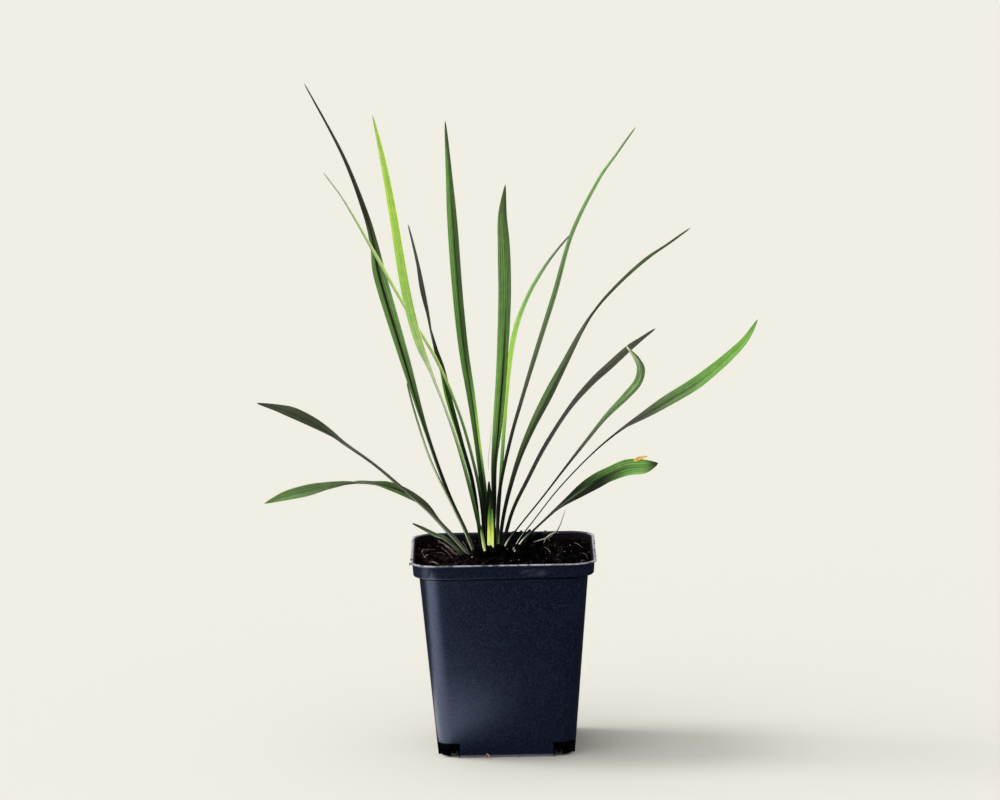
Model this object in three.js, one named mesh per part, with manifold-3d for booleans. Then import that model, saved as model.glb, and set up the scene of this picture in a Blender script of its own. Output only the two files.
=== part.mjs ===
// Potted liriope: a young tuft of strap leaves in a square nursery pot filled with potting soil.
// Millimetres, +Z up. The origin is on the surface that the pot stands on, under the pot's middle.
// The front of the plant faces -Y, and +X is to the viewer's right.
import * as THREE from "three";
import { mergeVertices } from "three/addons/utils/BufferGeometryUtils.js";
import Module from "manifold-3d";

// Pot: 9 cm square at the rim, moulded in one piece
const POT_WIDTH = 90;
const POT_HEIGHT = 97;
const SHOULDER_WIDTH = 81.6;
const BASE_WIDTH = 66.4;
const RIM_CORNER = 12;
const SHOULDER_CORNER = 10;
const BASE_CORNER = 8;
const CORNER_STEPS = 6;
const WALL = 1.2;
const RIM_BAND = 7;
const RIM_DRAFT = 1.4;
const LIP_ROUND = 0.4;
const STEP_RISE = 0.4;
const FLOOR_HEIGHT = 7;
const NOTCH_REACH = 9;
const FOOT_REACH = 6.8;
const FOOT_INSET = 1.5;
const DRAIN_RADIUS = 3.5;
const DRAIN_SPACING = 17;
const DRAIN_SIDES = 16;
const CUT_SPARE = 1;
const BAND_HEIGHT = POT_HEIGHT - RIM_BAND;
const SHOULDER_HEIGHT = BAND_HEIGHT - STEP_RISE;
const LEDGE_HEIGHT = BAND_HEIGHT + WALL;

// Soil: level at the wall, and a mound round the plant
const GAP = 0.3;
const SOIL_LEVEL = 92.6;
const SOIL_FLANGE = 1.1;
const SOIL_RINGS = 10;
const MOUND = { x: -5, y: 8, height: 3.4, spread: 10.5 };
const CRUMB_HEIGHT = 0.4;
const CRUMB_WAVE = (2 * Math.PI) / 7;
const CRUMB_WARP = 1.3;
const CRUMB_STRETCH = 0.9;

// Crown: the rhizome that the leaves stand on, and the bud between them
const CROWN = { x: -5.8, y: 8.8, radius: 8.5, bottom: 76, top: 86.2 };
const CROWN_HEEL = { radius: 4.7, height: 79.4 };
const CROWN_SHOULDER = { radius: 6.8, height: 84.5 };
const BUD = { radius: 1.2, neck: 102.4, tipRadius: 0.36, top: 112 };
const CROWN_SIDES = 20;

// Leaves: root height, lean of the root towards the crown, and the blade's section, which opens
// from its folded base to the flatter stretch that starts at OPEN_FROM of its length
const ROOT_HEIGHT = 87;
const ROOT_LEAN = 0.12;
const BLADE_STEPS = 24;
const BLADE_COLUMNS = [-1, -0.5, 0, 0.5, 1];
const BASE_THICKNESS = 0.8;
const TIP_THICKNESS = 0.6;
const BASE_FOLD = 0.5;
const TIP_FOLD = 0.16;
const FOLD_POWER = 1.4;
const OPEN_FROM = 0.6;
const ROUTE_TENSION = 0.5;

// Dry stalk
const STALK_RADIUS = 0.35;
const STALK_SIDES = 6;
const STALK_STEPS = 18;
const STALK_ROUTE = [
  [15.5, 12, 89],
  [16.5, 12, 95],
  [20.8, 13, 98.8],
  [24, 13.7, 101.1],
  [26.5, 14.2, 102.6],
  [28.2, 14.8, 105.4],
  [29.6, 15.4, 109.2],
  [30.6, 16, 112.3],
];

// Each leaf's route from the soil to its tip. A row holds x, y, z, the blade's width there, and
// its turn in degrees: at 0 the grooved upper face looks to the front, at 90 the blade is edge-on
// to the front, and past 90 the front sees the underside.
const LEAVES = {
  leaf_tall_left: [
    [-13.8, 9.2, 92.5, 2.6, -62],
    [-18.5, 10, 104.5, 2.8, -67],
    [-27, 10.5, 124, 3.8, -73],
    [-37, 11.5, 154, 4.6, -69],
    [-46.5, 13, 188.5, 5.9, -36],
    [-57.5, 15.5, 228, 5.5, -31],
    [-60.5, 16, 245, 6, -70],
    [-64.5, 17.5, 261, 5.6, -120],
    [-75, 19, 289.5, 4, -110],
    [-93, 22, 324.5, 0.8, -115],
  ],
  leaf_thin_left: [
    [-9.2, 7, 94, 2.4, -124],
    [-10, 5.5, 115, 2.8, -110],
    [-13, 3.5, 135.5, 3.2, -107],
    [-20, 0.5, 163, 3.8, -104],
    [-30.5, -2.5, 190, 4.3, -110],
    [-43, -6, 213, 4.8, -107],
    [-56, -10, 237.5, 4.8, -112],
    [-69.5, -14, 263.5, 4.4, -112],
    [-76, -16, 275, 3.2, -110],
    [-83.5, -18, 285.5, 0.8, -118],
  ],
  leaf_lime: [
    [-9.5, 3, 96.5, 2.7, -118],
    [-15, 1, 123.5, 3.4, -111],
    [-20.5, -2.5, 146.5, 3.8, -107],
    [-26.5, -6, 166.5, 4.4, -100],
    [-33, -10, 184.5, 4.8, -112],
    [-39.5, -14.5, 202.5, 5.2, -144],
    [-45, -21, 228, 5.3, -150],
    [-50.5, -32.5, 269, 4.8, -144],
    [-54.5, -41, 295, 3.7, -138],
    [-58.5, -48, 316, 0.8, -145],
  ],
  leaf_dark_left: [
    [-10.5, 9.5, 93.5, 2.7, -63],
    [-14, 12.5, 124.5, 3.2, -69],
    [-19.5, 16, 146, 3.8, -66],
    [-25.5, 20.5, 167.5, 4.7, -49],
    [-28.5, 23.5, 182, 5.2, -61],
    [-31.5, 26, 191.5, 5.2, -56],
    [-34.5, 29.5, 206, 4.6, -82],
    [-37.5, 33, 220, 4.2, -126],
    [-40, 37, 234.5, 3.3, -116],
    [-44, 42, 252, 0.8, -125],
  ],
  leaf_middle_back: [
    [-6.5, 12.8, 93, 2.7, 43],
    [-8.5, 14.5, 118.5, 3.6, 29],
    [-11, 18.5, 142.5, 4.5, 46],
    [-14, 23.5, 167, 5.4, 41],
    [-17.5, 30, 190.5, 5.8, 34],
    [-20, 38, 217.5, 6.2, 34],
    [-22, 49, 250, 6, 32],
    [-23.5, 58.5, 276, 4, 39],
    [-25, 68, 300, 0.8, 33],
  ],
  leaf_middle_front: [
    [-5.6, 5, 94, 2.9, 130],
    [-4, 3.5, 115.5, 3.4, 129],
    [-3.5, -1.5, 138.5, 4, 134],
    [-1.5, -7.5, 159, 5.5, 148],
    [1, -17.5, 187.5, 6.8, 142],
    [3, -33.5, 224, 7.6, 144],
    [3, -46.5, 250, 6.8, 150],
    [2.5, -56.5, 268, 4.9, 148],
    [4, -66, 284, 0.8, 145],
  ],
  leaf_bright_right: [
    [-3.5, 14, 94.5, 2.5, 69],
    [-1, 17, 123, 3.2, 74],
    [1.5, 22.5, 151.5, 4.2, 73],
    [4.5, 29, 180.5, 4.8, 65],
    [8, 34, 199.5, 4.8, 61],
    [14.5, 39, 215.5, 4.6, 71],
    [22.5, 43.5, 228.5, 4.2, 76],
    [29, 46.5, 237, 2.8, 83],
    [36.5, 50, 245, 0.8, 65],
  ],
  leaf_tall_right: [
    [-2.8, 9.2, 95.5, 2.8, 66],
    [-1.5, 10.5, 121.5, 3, 74],
    [4.5, 12.5, 148.5, 3.8, 79],
    [11, 14, 169.5, 4.8, 74],
    [18.5, 16.5, 192.5, 4.9, 67],
    [27.5, 19, 219.5, 4.9, 64],
    [36.5, 22.5, 248.5, 4.8, 72],
    [49.5, 26, 273.5, 4, 74],
    [59.5, 28, 287.5, 2.7, 82],
    [68.5, 30, 299.5, 0.8, 60],
  ],
  leaf_twisted_right: [
    [-1.8, 4.2, 98, 2.8, 68],
    [1.5, 3, 117, 3.2, 72],
    [8, 0.5, 139, 4.4, 63],
    [15, -2.5, 156.5, 5, 50],
    [23, -5.5, 172.5, 5.9, 45],
    [31.5, -9, 189, 5.6, 60],
    [39, -12, 203.5, 5.8, 76],
    [46, -15, 215.5, 5.4, 96],
    [57, -18.5, 228, 4.8, 110],
    [71, -23, 241, 4, 119],
    [82.5, -27, 249.5, 2.8, 113],
    [92.5, -30, 257, 0.8, 125],
  ],
  leaf_middle_right: [
    [0, 11, 96.5, 2.8, 66],
    [5, 14, 113, 3, 76],
    [13, 19, 128, 3.8, 74],
    [22, 25.5, 143.5, 4.4, 71],
    [33.5, 33.5, 159.5, 5.1, 74],
    [44.5, 41, 171, 4.9, 59],
    [54.5, 47.5, 179, 5.3, 54],
    [64, 53.5, 186.5, 4.5, 52],
    [71, 58, 191, 2.5, 52],
    [77.5, 62, 195, 0.8, 38],
  ],
  leaf_curled: [
    [1.5, 4, 98, 2.8, 69],
    [7.5, 1.5, 107, 2.8, 91],
    [19.5, -5.5, 123, 3.4, 97],
    [30.5, -14, 138.5, 4.2, 92],
    [41.5, -23, 153.5, 5, 81],
    [51, -31.5, 166.5, 5.3, 74],
    [60.5, -39.5, 177.5, 5.2, 54],
    [66, -45, 185, 5.5, 50],
    [67.5, -48.5, 192, 5.6, 48],
    [65.5, -52, 197.5, 5, 56],
    [63, -55, 201, 3.4, 62],
    [60, -58, 204.5, 0.9, 60],
  ],
  leaf_far_right: [
    [7.5, 6, 99.5, 2.6, 88],
    [15.5, 3.5, 110.5, 2.6, 96],
    [27.5, -2, 126.5, 2.8, 98],
    [43, -10.5, 144, 3.4, 98],
    [56, -19.5, 156.5, 4.4, 94],
    [69.5, -26.5, 166, 5.9, 60],
    [80, -33, 173.5, 6.9, 46],
    [92, -41, 182, 6.8, 38],
    [100.5, -49, 189.5, 6.8, 44],
    [110, -57, 199, 5.6, 45],
    [117, -63.5, 207.5, 3.9, 45],
    [122.5, -70, 218, 0.8, 30],
  ],
  leaf_broad_right: [
    [8.7, 1.5, 99, 2.8, 70],
    [16.5, -2, 107.5, 3, 90],
    [27, -9, 118, 4.2, 78],
    [37.5, -16, 127, 6.5, 42],
    [45.5, -21.5, 133, 7.6, 28],
    [52.5, -27, 137.5, 7.4, 28],
    [60.5, -33.5, 141.5, 8.1, 28],
    [69, -39.5, 143, 6.7, 20],
    [75, -46, 145.5, 1.2, 20],
  ],
  leaf_arching_left: [
    [-17.5, 0.5, 94.5, 2.7, -68],
    [-24.5, 0.6, 102.5, 3, -74],
    [-35.5, 1, 115, 3.4, -76],
    [-48, 2, 126.5, 4, -83],
    [-62.5, 4.5, 139, 4.8, -90],
    [-76.5, 8.5, 148.5, 5.8, -87],
    [-84, 12, 153.5, 6.2, -70],
    [-93, 16.5, 158.5, 6.1, -42],
    [-102.5, 21, 162.5, 5.8, -32],
    [-111, 25.5, 164.5, 3.6, -39],
    [-120, 30, 166, 0.8, -35],
  ],
  leaf_low_left: [
    [-17, 10.6, 91.5, 2.6, -68],
    [-23.5, 10.5, 100, 3, -66],
    [-31, 10, 108.5, 3.4, -72],
    [-37.5, 9.5, 117, 4.2, -62],
    [-46, 8.5, 123, 5.2, -45],
    [-54.5, 7.5, 127, 5.7, -52],
    [-62.5, 6, 129, 6.2, -84],
    [-70.5, 5, 130, 6.3, -94],
    [-78, 3.5, 129.5, 6.3, -120],
    [-86.5, 2, 128.5, 6.5, -138],
    [-95.5, 0, 127, 6.5, -161],
    [-106, -2.5, 125, 5.2, -159],
    [-116, -5, 122, 0.8, -155],
  ],
  leaf_hair_left: [
    [-14.5, 5, 94.5, 2.1, -62],
    [-19, 3, 106, 2.3, -70],
    [-24.5, 0, 118.5, 2.6, -78],
    [-34.5, -8, 142.5, 3, -86],
    [-41.5, -18, 167.5, 2.6, -84],
    [-45, -25, 183.5, 0.8, -74],
  ],
  leaf_short_left: [
    [-21, 4, 94.5, 2.4, -34],
    [-28, 0, 102, 2.2, -40],
    [-33.5, -3, 105, 2.2, -40],
    [-39, -5.5, 108.5, 1.7, -30],
    [-44, -8, 111.5, 0.8, -30],
  ],
};

// Materials
const NAVY_PLASTIC = { color: 0x1f2533, roughness: 0.5, metalness: 0 };
const BLACK_SOIL = { color: 0x150c09, roughness: 1, metalness: 0 };
const PALE_CROWN = { color: 0xb4c552, roughness: 0.6, metalness: 0 };
const DRY_STRAW = { color: 0x5a4632, roughness: 0.8, metalness: 0 };
const LEAF_GREEN = { color: 0x2f6a2c, roughness: 0.45, metalness: 0 };
const LEAF_LIME = { color: 0x8cc63f, roughness: 0.45, metalness: 0 };
const LIME_LEAVES = ["leaf_lime", "leaf_bright_right"];

const wasm = await Module();
wasm.setup();

// Solids from closed three.js meshes, and back
function solidOf(geometry) {
  const bare = geometry.clone();
  bare.deleteAttribute("normal");
  bare.deleteAttribute("uv");
  const merged = mergeVertices(bare);
  const mesh = new wasm.Mesh({
    numProp: 3,
    vertProperties: new Float32Array(merged.attributes.position.array),
    triVerts: new Uint32Array(merged.index.array),
  });
  return new wasm.Manifold(mesh);
}

function geometryOf(solid) {
  const mesh = solid.getMesh();
  const geometry = new THREE.BufferGeometry();
  geometry.setAttribute("position", new THREE.BufferAttribute(mesh.vertProperties, mesh.numProp));
  geometry.setIndex(new THREE.BufferAttribute(mesh.triVerts, 1));
  return geometry;
}

// A closed skin through a stack of rings with equal counts of points, flat or pointed at its ends.
// Where turned(k) is true, the quads after point k are split along their other diagonal.
function loft(rings, turned = () => false) {
  const count = rings[0].length;
  const points = rings.flat();
  const triangles = [];
  for (let i = 0; i + 1 < rings.length; i += 1) {
    for (let k = 0; k < count; k += 1) {
      const a = i * count + k;
      const b = i * count + ((k + 1) % count);
      const c = b + count;
      const d = a + count;
      if (turned(k)) {
        triangles.push(a, b, d, b, c, d);
      } else {
        triangles.push(a, b, c, a, c, d);
      }
    }
  }
  const middle = (ring) => {
    const sum = new THREE.Vector3();
    ring.forEach((point) => sum.add(point));
    return sum.divideScalar(ring.length);
  };
  const first = points.push(middle(rings[0])) - 1;
  const last = points.push(middle(rings[rings.length - 1])) - 1;
  const top = (rings.length - 1) * count;
  for (let k = 0; k < count; k += 1) {
    const next = (k + 1) % count;
    triangles.push(first, next, k);
    triangles.push(last, top + k, top + next);
  }
  const geometry = new THREE.BufferGeometry().setFromPoints(points);
  geometry.setIndex(triangles);
  return geometry;
}

// Plan of the pot: a square with round corners, counter-clockwise from above
function squareRing(halfWidth, corner, z) {
  const ring = [];
  const centre = halfWidth - corner;
  for (let side = 0; side < 4; side += 1) {
    const start = (side * Math.PI) / 2;
    const cx = centre * (side === 0 || side === 3 ? 1 : -1);
    const cy = centre * (side < 2 ? 1 : -1);
    for (let step = 0; step <= CORNER_STEPS; step += 1) {
      const angle = start + (step / CORNER_STEPS) * (Math.PI / 2);
      ring.push(new THREE.Vector3(cx + corner * Math.cos(angle), cy + corner * Math.sin(angle), z));
    }
  }
  return ring;
}

// Ring of the tapered wall at a height, moved in from the outside face
function wallRing(z, inset = 0) {
  const share = z / SHOULDER_HEIGHT;
  const halfWidth = THREE.MathUtils.lerp(BASE_WIDTH, SHOULDER_WIDTH, share) / 2 - inset;
  const corner = THREE.MathUtils.lerp(BASE_CORNER, SHOULDER_CORNER, share) - inset;
  return squareRing(halfWidth, corner, z);
}

// Ring of the rim band, which widens to the lip
function bandRing(z, inset = 0) {
  const share = (z - BAND_HEIGHT) / RIM_BAND;
  const halfWidth = POT_WIDTH / 2 - RIM_DRAFT * (1 - share) - inset;
  const corner = THREE.MathUtils.lerp(SHOULDER_CORNER + 1, RIM_CORNER, share) - inset;
  return squareRing(halfWidth, corner, z);
}

// Four blocks at the bottom corners, from the given reach inside the wall to just outside it
function atCorners(reach, height, z) {
  const width = reach + CUT_SPARE;
  const place = BASE_WIDTH / 2 - reach + width / 2;
  const solids = [];
  for (const sx of [-1, 1]) {
    for (const sy of [-1, 1]) {
      const box = new THREE.BoxGeometry(width, width, height);
      box.translate(sx * place, sy * place, z);
      solids.push(solidOf(box));
    }
  }
  return solids.reduce((all, solid) => all.add(solid));
}

// Pot: outside, less the inside, the hollow under the floor, the corner notches and the drain
// holes. A set-in foot carries each corner, with a drain slot left on each side of it.
function makePot() {
  const outside = solidOf(loft([
    wallRing(0),
    wallRing(SHOULDER_HEIGHT),
    bandRing(BAND_HEIGHT),
    bandRing(POT_HEIGHT - LIP_ROUND),
    bandRing(POT_HEIGHT, LIP_ROUND),
  ]));
  const inside = solidOf(loft([
    wallRing(FLOOR_HEIGHT + WALL, WALL),
    wallRing(LEDGE_HEIGHT - STEP_RISE, WALL),
    bandRing(LEDGE_HEIGHT, WALL),
    bandRing(POT_HEIGHT + CUT_SPARE, WALL),
  ]));
  const underFloor = solidOf(loft([wallRing(-CUT_SPARE, WALL), wallRing(FLOOR_HEIGHT, WALL)]));
  const notchHeight = FLOOR_HEIGHT + CUT_SPARE;
  const notches = atCorners(NOTCH_REACH, notchHeight, FLOOR_HEIGHT - notchHeight / 2);
  const footTop = FLOOR_HEIGHT + WALL / 2;
  const footRing = solidOf(loft([wallRing(0, FOOT_INSET), wallRing(footTop, FOOT_INSET)]));
  const footHollow = solidOf(loft([
    wallRing(-CUT_SPARE, FOOT_INSET + WALL),
    wallRing(POT_HEIGHT / 2, FOOT_INSET + WALL),
  ]));
  const feet = footRing.subtract(footHollow).intersect(atCorners(FOOT_REACH, POT_HEIGHT, 0));
  let pot = outside.subtract(inside).subtract(underFloor).subtract(notches).add(feet);
  const drains = [[0, 0], [1, 0], [-1, 0], [0, 1], [0, -1]];
  for (const [x, y] of drains) {
    const drain = new THREE.CylinderGeometry(DRAIN_RADIUS, DRAIN_RADIUS, 4 * WALL, DRAIN_SIDES);
    drain.rotateX(Math.PI / 2);
    drain.translate(x * DRAIN_SPACING, y * DRAIN_SPACING, FLOOR_HEIGHT + WALL / 2);
    pot = pot.subtract(solidOf(drain));
  }
  return geometryOf(pot);
}

function routeCurve(points) {
  return new THREE.CatmullRomCurve3(points, false, "catmullrom", ROUTE_TENSION);
}

// Leaf: a blade with a grooved, boat-shaped section that follows the route and its turns
function bladeGeometry(route, grow = 0) {
  const [x, y, , width, turn] = route[0];
  const rootX = THREE.MathUtils.lerp(x, CROWN.x, ROOT_LEAN);
  const rootY = THREE.MathUtils.lerp(y, CROWN.y, ROOT_LEAN);
  const rows = [[rootX, rootY, ROOT_HEIGHT, width, turn], ...route];
  const line = routeCurve(rows.map((row) => new THREE.Vector3(row[0], row[1], row[2])));
  const form = routeCurve(rows.map((row) => new THREE.Vector3(row[3], row[4], 0)));
  const front = new THREE.Vector3(0, -1, 0);
  const rings = [];
  for (let step = 0; step <= BLADE_STEPS; step += 1) {
    const share = step / BLADE_STEPS;
    const along = line.getTangent(share);
    const facing = front.clone().addScaledVector(along, -front.dot(along)).normalize();
    const across = along.clone().cross(facing);
    const shape = form.getPoint(share);
    const angle = THREE.MathUtils.degToRad(shape.y);
    const cos = Math.cos(angle);
    const sin = Math.sin(angle);
    const wide = across.clone().multiplyScalar(cos).addScaledVector(facing, sin);
    const up = facing.clone().multiplyScalar(cos).addScaledVector(across, -sin);
    const half = Math.max(shape.x, TIP_THICKNESS) / 2;
    const opened = THREE.MathUtils.smoothstep(share, 0, OPEN_FROM);
    const groove = half * THREE.MathUtils.lerp(BASE_FOLD, TIP_FOLD, opened);
    const thickness = THREE.MathUtils.lerp(BASE_THICKNESS, TIP_THICKNESS, opened);
    const centre = line.getPoint(share);
    if (step === 0) {
      centre.z -= grow;
    }
    const place = (column, side) => {
      const reach = column * (half + grow);
      const rise = groove * (Math.abs(reach / half) ** FOLD_POWER - 1 / 2);
      const face = side * (thickness / 2 + grow);
      return centre.clone().addScaledVector(wide, reach).addScaledVector(up, rise + face);
    };
    const upper = BLADE_COLUMNS.map((column) => place(column, 1));
    const lower = BLADE_COLUMNS.map((column) => place(column, -1));
    rings.push([...upper, ...lower.reverse()]);
  }
  return loft(rings, (k) => k >= BLADE_COLUMNS.length);
}

// Dry stalk: a thin bent rod
function stalkGeometry(grow = 0) {
  const section = new THREE.Shape();
  const radius = STALK_RADIUS + grow;
  for (let side = 0; side < STALK_SIDES; side += 1) {
    const angle = (side / STALK_SIDES) * 2 * Math.PI;
    const move = side === 0 ? "moveTo" : "lineTo";
    section[move](radius * Math.cos(angle), radius * Math.sin(angle));
  }
  const route = STALK_ROUTE.map((point) => new THREE.Vector3(...point));
  route[0].z -= grow;
  const extrudePath = new THREE.CatmullRomCurve3(route);
  return new THREE.ExtrudeGeometry(section, { steps: STALK_STEPS, extrudePath });
}

// Crown: a knob of rhizome with the bud on top, turned round its own axis
function crownGeometry(grow = 0) {
  const profile = [
    [0, CROWN.bottom - grow],
    [CROWN_HEEL.radius + grow, CROWN.bottom - grow],
    [CROWN.radius + grow, CROWN_HEEL.height],
    [CROWN.radius + grow, CROWN_SHOULDER.height],
    [CROWN_SHOULDER.radius + grow, CROWN.top + grow],
    [BUD.radius + grow, CROWN.top + grow],
    [BUD.radius + grow, BUD.neck],
    [BUD.tipRadius + grow, BUD.top + grow],
    [0, BUD.top + grow],
  ];
  const points = profile.map(([r, z]) => new THREE.Vector2(r, z));
  const geometry = new THREE.LatheGeometry(points, CROWN_SIDES);
  geometry.rotateX(Math.PI / 2);
  geometry.translate(CROWN.x, CROWN.y, 0);
  return geometry;
}

// Soil: fills the pot and covers its ledge. The top has a mound round the plant and low crumbs.
function soilHeight(x, y) {
  const away = Math.hypot(x - MOUND.x, y - MOUND.y) / MOUND.spread;
  const mound = MOUND.height * Math.exp((-away * away) / 2);
  const u = CRUMB_WAVE * x;
  const v = CRUMB_WAVE * y;
  const crumbs = Math.sin(u + CRUMB_WARP * Math.sin(v / 2)) * Math.cos(CRUMB_STRETCH * v);
  return SOIL_LEVEL + mound + CRUMB_HEIGHT * crumbs;
}

function makeSoil(holes) {
  const floorRing = wallRing(FLOOR_HEIGHT + WALL + GAP, WALL + GAP);
  const ledgeRing = wallRing(LEDGE_HEIGHT - STEP_RISE + GAP, WALL + GAP);
  const flangeRing = bandRing(LEDGE_HEIGHT + GAP, WALL + GAP);
  const edgeRing = bandRing(LEDGE_HEIGHT + GAP + SOIL_FLANGE / 2, WALL + GAP);
  const rings = [floorRing, ledgeRing, flangeRing, edgeRing];
  for (let ring = 0; ring < SOIL_RINGS; ring += 1) {
    const share = 1 - ring / SOIL_RINGS;
    const lift = ({ x, y }) => new THREE.Vector3(x, y, soilHeight(x, y));
    rings.push(edgeRing.map((point) => lift(point.clone().multiplyScalar(share))));
  }
  let soil = solidOf(loft(rings));
  for (const hole of holes) {
    soil = soil.subtract(hole);
  }
  return geometryOf(soil);
}

// Scene
const plant = new THREE.Group();

function addPiece(name, geometry, look) {
  geometry.computeVertexNormals();
  const mesh = new THREE.Mesh(geometry, new THREE.MeshStandardMaterial(look));
  mesh.name = name;
  plant.add(mesh);
}

const holes = [solidOf(crownGeometry(GAP)), solidOf(stalkGeometry(GAP))];
for (const route of Object.values(LEAVES)) {
  holes.push(solidOf(bladeGeometry(route, GAP)));
}

addPiece("pot", makePot(), NAVY_PLASTIC);
addPiece("soil", makeSoil(holes), BLACK_SOIL);
addPiece("crown", geometryOf(solidOf(crownGeometry())), PALE_CROWN);
addPiece("dry_stalk", geometryOf(solidOf(stalkGeometry())), DRY_STRAW);
for (const [name, route] of Object.entries(LEAVES)) {
  const look = LIME_LEAVES.includes(name) ? LEAF_LIME : LEAF_GREEN;
  addPiece(name, geometryOf(solidOf(bladeGeometry(route))), look);
}

export default plant;
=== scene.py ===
# Potted liriope: the finished look of a young tuft of strap leaves in a square nursery pot.
# Sizes are written in millimetres, and MM makes them metres. The front of the plant faces -Y.
import math

import bpy
from mathutils import Matrix, Vector
from mathutils.bvhtree import BVHTree


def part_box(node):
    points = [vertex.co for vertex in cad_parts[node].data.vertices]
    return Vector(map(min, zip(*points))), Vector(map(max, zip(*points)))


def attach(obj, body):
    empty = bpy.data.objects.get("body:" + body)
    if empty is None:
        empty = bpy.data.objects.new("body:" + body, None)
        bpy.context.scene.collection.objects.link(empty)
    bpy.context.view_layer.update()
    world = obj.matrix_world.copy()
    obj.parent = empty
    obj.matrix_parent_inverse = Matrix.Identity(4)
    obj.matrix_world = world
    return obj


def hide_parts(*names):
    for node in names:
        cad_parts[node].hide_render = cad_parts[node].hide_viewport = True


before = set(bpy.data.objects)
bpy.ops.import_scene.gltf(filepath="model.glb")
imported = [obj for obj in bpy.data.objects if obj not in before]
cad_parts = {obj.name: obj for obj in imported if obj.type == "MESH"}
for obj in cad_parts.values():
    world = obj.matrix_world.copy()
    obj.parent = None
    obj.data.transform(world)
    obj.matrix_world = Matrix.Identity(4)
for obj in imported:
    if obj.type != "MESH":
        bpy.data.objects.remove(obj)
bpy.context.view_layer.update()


# Pot: a 9 cm square nursery pot, moulded in one piece from dark navy plastic. Its walls taper to
# the foot, a stepped band with a beaded lip stiffens the rim, and a set-in foot with a drain slot
# on each side of it carries each bottom corner. Its skin is one closed stack of rounded squares.
MM = 0.001
POT_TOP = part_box("pot")[1].z / MM
FLOOR = 7
WALL = 1.2
EDGE = 0.3
OVER_SLOTS = 8.8
WALL_MIDDLE = 45
INNER_STEP = 91
SHOULDER = {"half": 40.8, "corner": 10, "z": 89.6}
FOOT = {"half": 33.2, "corner": 8}
BAND = {"bottom": 90, "half": 43.6, "flare": 0.5, "corner": 11}
BAND_OUTSIDE = (90.8, 95.4)
BAND_INSIDE = {"top": 95.6, "foot": 91.6}
CORNER_STEPS = 14
SIDE_STEPS = 10


def square_ring(half, corner, z):
    """A square with round corners, counter-clockwise from above."""
    centre = half - corner
    points = []
    for side, (sx, sy) in enumerate([(1, 1), (-1, 1), (-1, -1), (1, -1)]):
        for step in range(CORNER_STEPS + 1):
            angle = (side + step / CORNER_STEPS) * math.pi / 2
            x = sx * centre + corner * math.cos(angle)
            y = sy * centre + corner * math.sin(angle)
            points.append(Vector((x, y, z)) * MM)
        end = points[-1]
        turn = (side + 1) * math.pi / 2
        span = Vector((-math.sin(turn), math.cos(turn), 0)) * 2 * centre * MM
        for step in range(1, SIDE_STEPS):
            points.append(end + span * step / SIDE_STEPS)
    return points


def wall_ring(z, inset=0.0):
    """The tapered wall at a height, moved in from its outer face."""
    share = z / SHOULDER["z"]
    half = FOOT["half"] + (SHOULDER["half"] - FOOT["half"]) * share - inset
    corner = FOOT["corner"] + (SHOULDER["corner"] - FOOT["corner"]) * share - inset
    return square_ring(half, corner, z)


def band_ring(z, inset=0.0, half=None):
    """The rim band at a height, or a ring of its beaded lip where a half width is given."""
    share = (z - BAND["bottom"]) / (POT_TOP - BAND["bottom"])
    width = BAND["half"] + BAND["flare"] * share if half is None else half
    return square_ring(width - inset, BAND["corner"] + share - inset, z)


def box_ring(low, high, z):
    """A rectangle between two corners, counter-clockwise from above."""
    corners = [(low[0], low[1]), (high[0], low[1]), (high[0], high[1]), (low[0], high[1])]
    return [Vector((x, y, z)) * MM for x, y in corners]


def round_ring(x, y, radius, z, sides=32):
    """A circle round a point, counter-clockwise from above."""
    angles = [math.tau * side / sides for side in range(sides)]
    return [Vector((x + radius * math.cos(a), y + radius * math.sin(a), z)) * MM for a in angles]


def placed(name, data):
    """A new object in the scene, at the origin."""
    made = bpy.data.objects.new(name, data)
    bpy.context.scene.collection.objects.link(made)
    return made


def closed_skin(name, rings):
    """A closed mesh through a stack of rings, with a flat face on its first and last ring."""
    count = len(rings[0])
    points = [point for ring in rings for point in ring]
    faces = [list(range(count))[::-1]]
    for i in range(len(rings) - 1):
        for k in range(count):
            following = (k + 1) % count
            low, high = i * count, (i + 1) * count
            faces.append([low + k, low + following, high + following, high + k])
    faces.append([(len(rings) - 1) * count + k for k in range(count)])
    mesh = bpy.data.meshes.new(name)
    mesh.from_pydata(points, [], faces)
    return placed(name, mesh)


def cut(piece, tool, operation="DIFFERENCE"):
    """Cuts a tool out of a piece, or joins it on, and removes the tool."""
    modifier = piece.modifiers.new("Cut", "BOOLEAN")
    modifier.operation = operation
    modifier.solver = "EXACT"
    modifier.object = tool
    settle(piece)
    bpy.data.objects.remove(tool)


def settle(piece):
    """Turns what a piece's modifiers make into its plain mesh."""
    depsgraph = bpy.context.evaluated_depsgraph_get()
    mesh = bpy.data.meshes.new_from_object(piece.evaluated_get(depsgraph))
    piece.modifiers.clear()
    old = piece.data
    piece.data = mesh
    mesh.name = piece.name
    if old.users == 0:
        bpy.data.meshes.remove(old)


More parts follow.
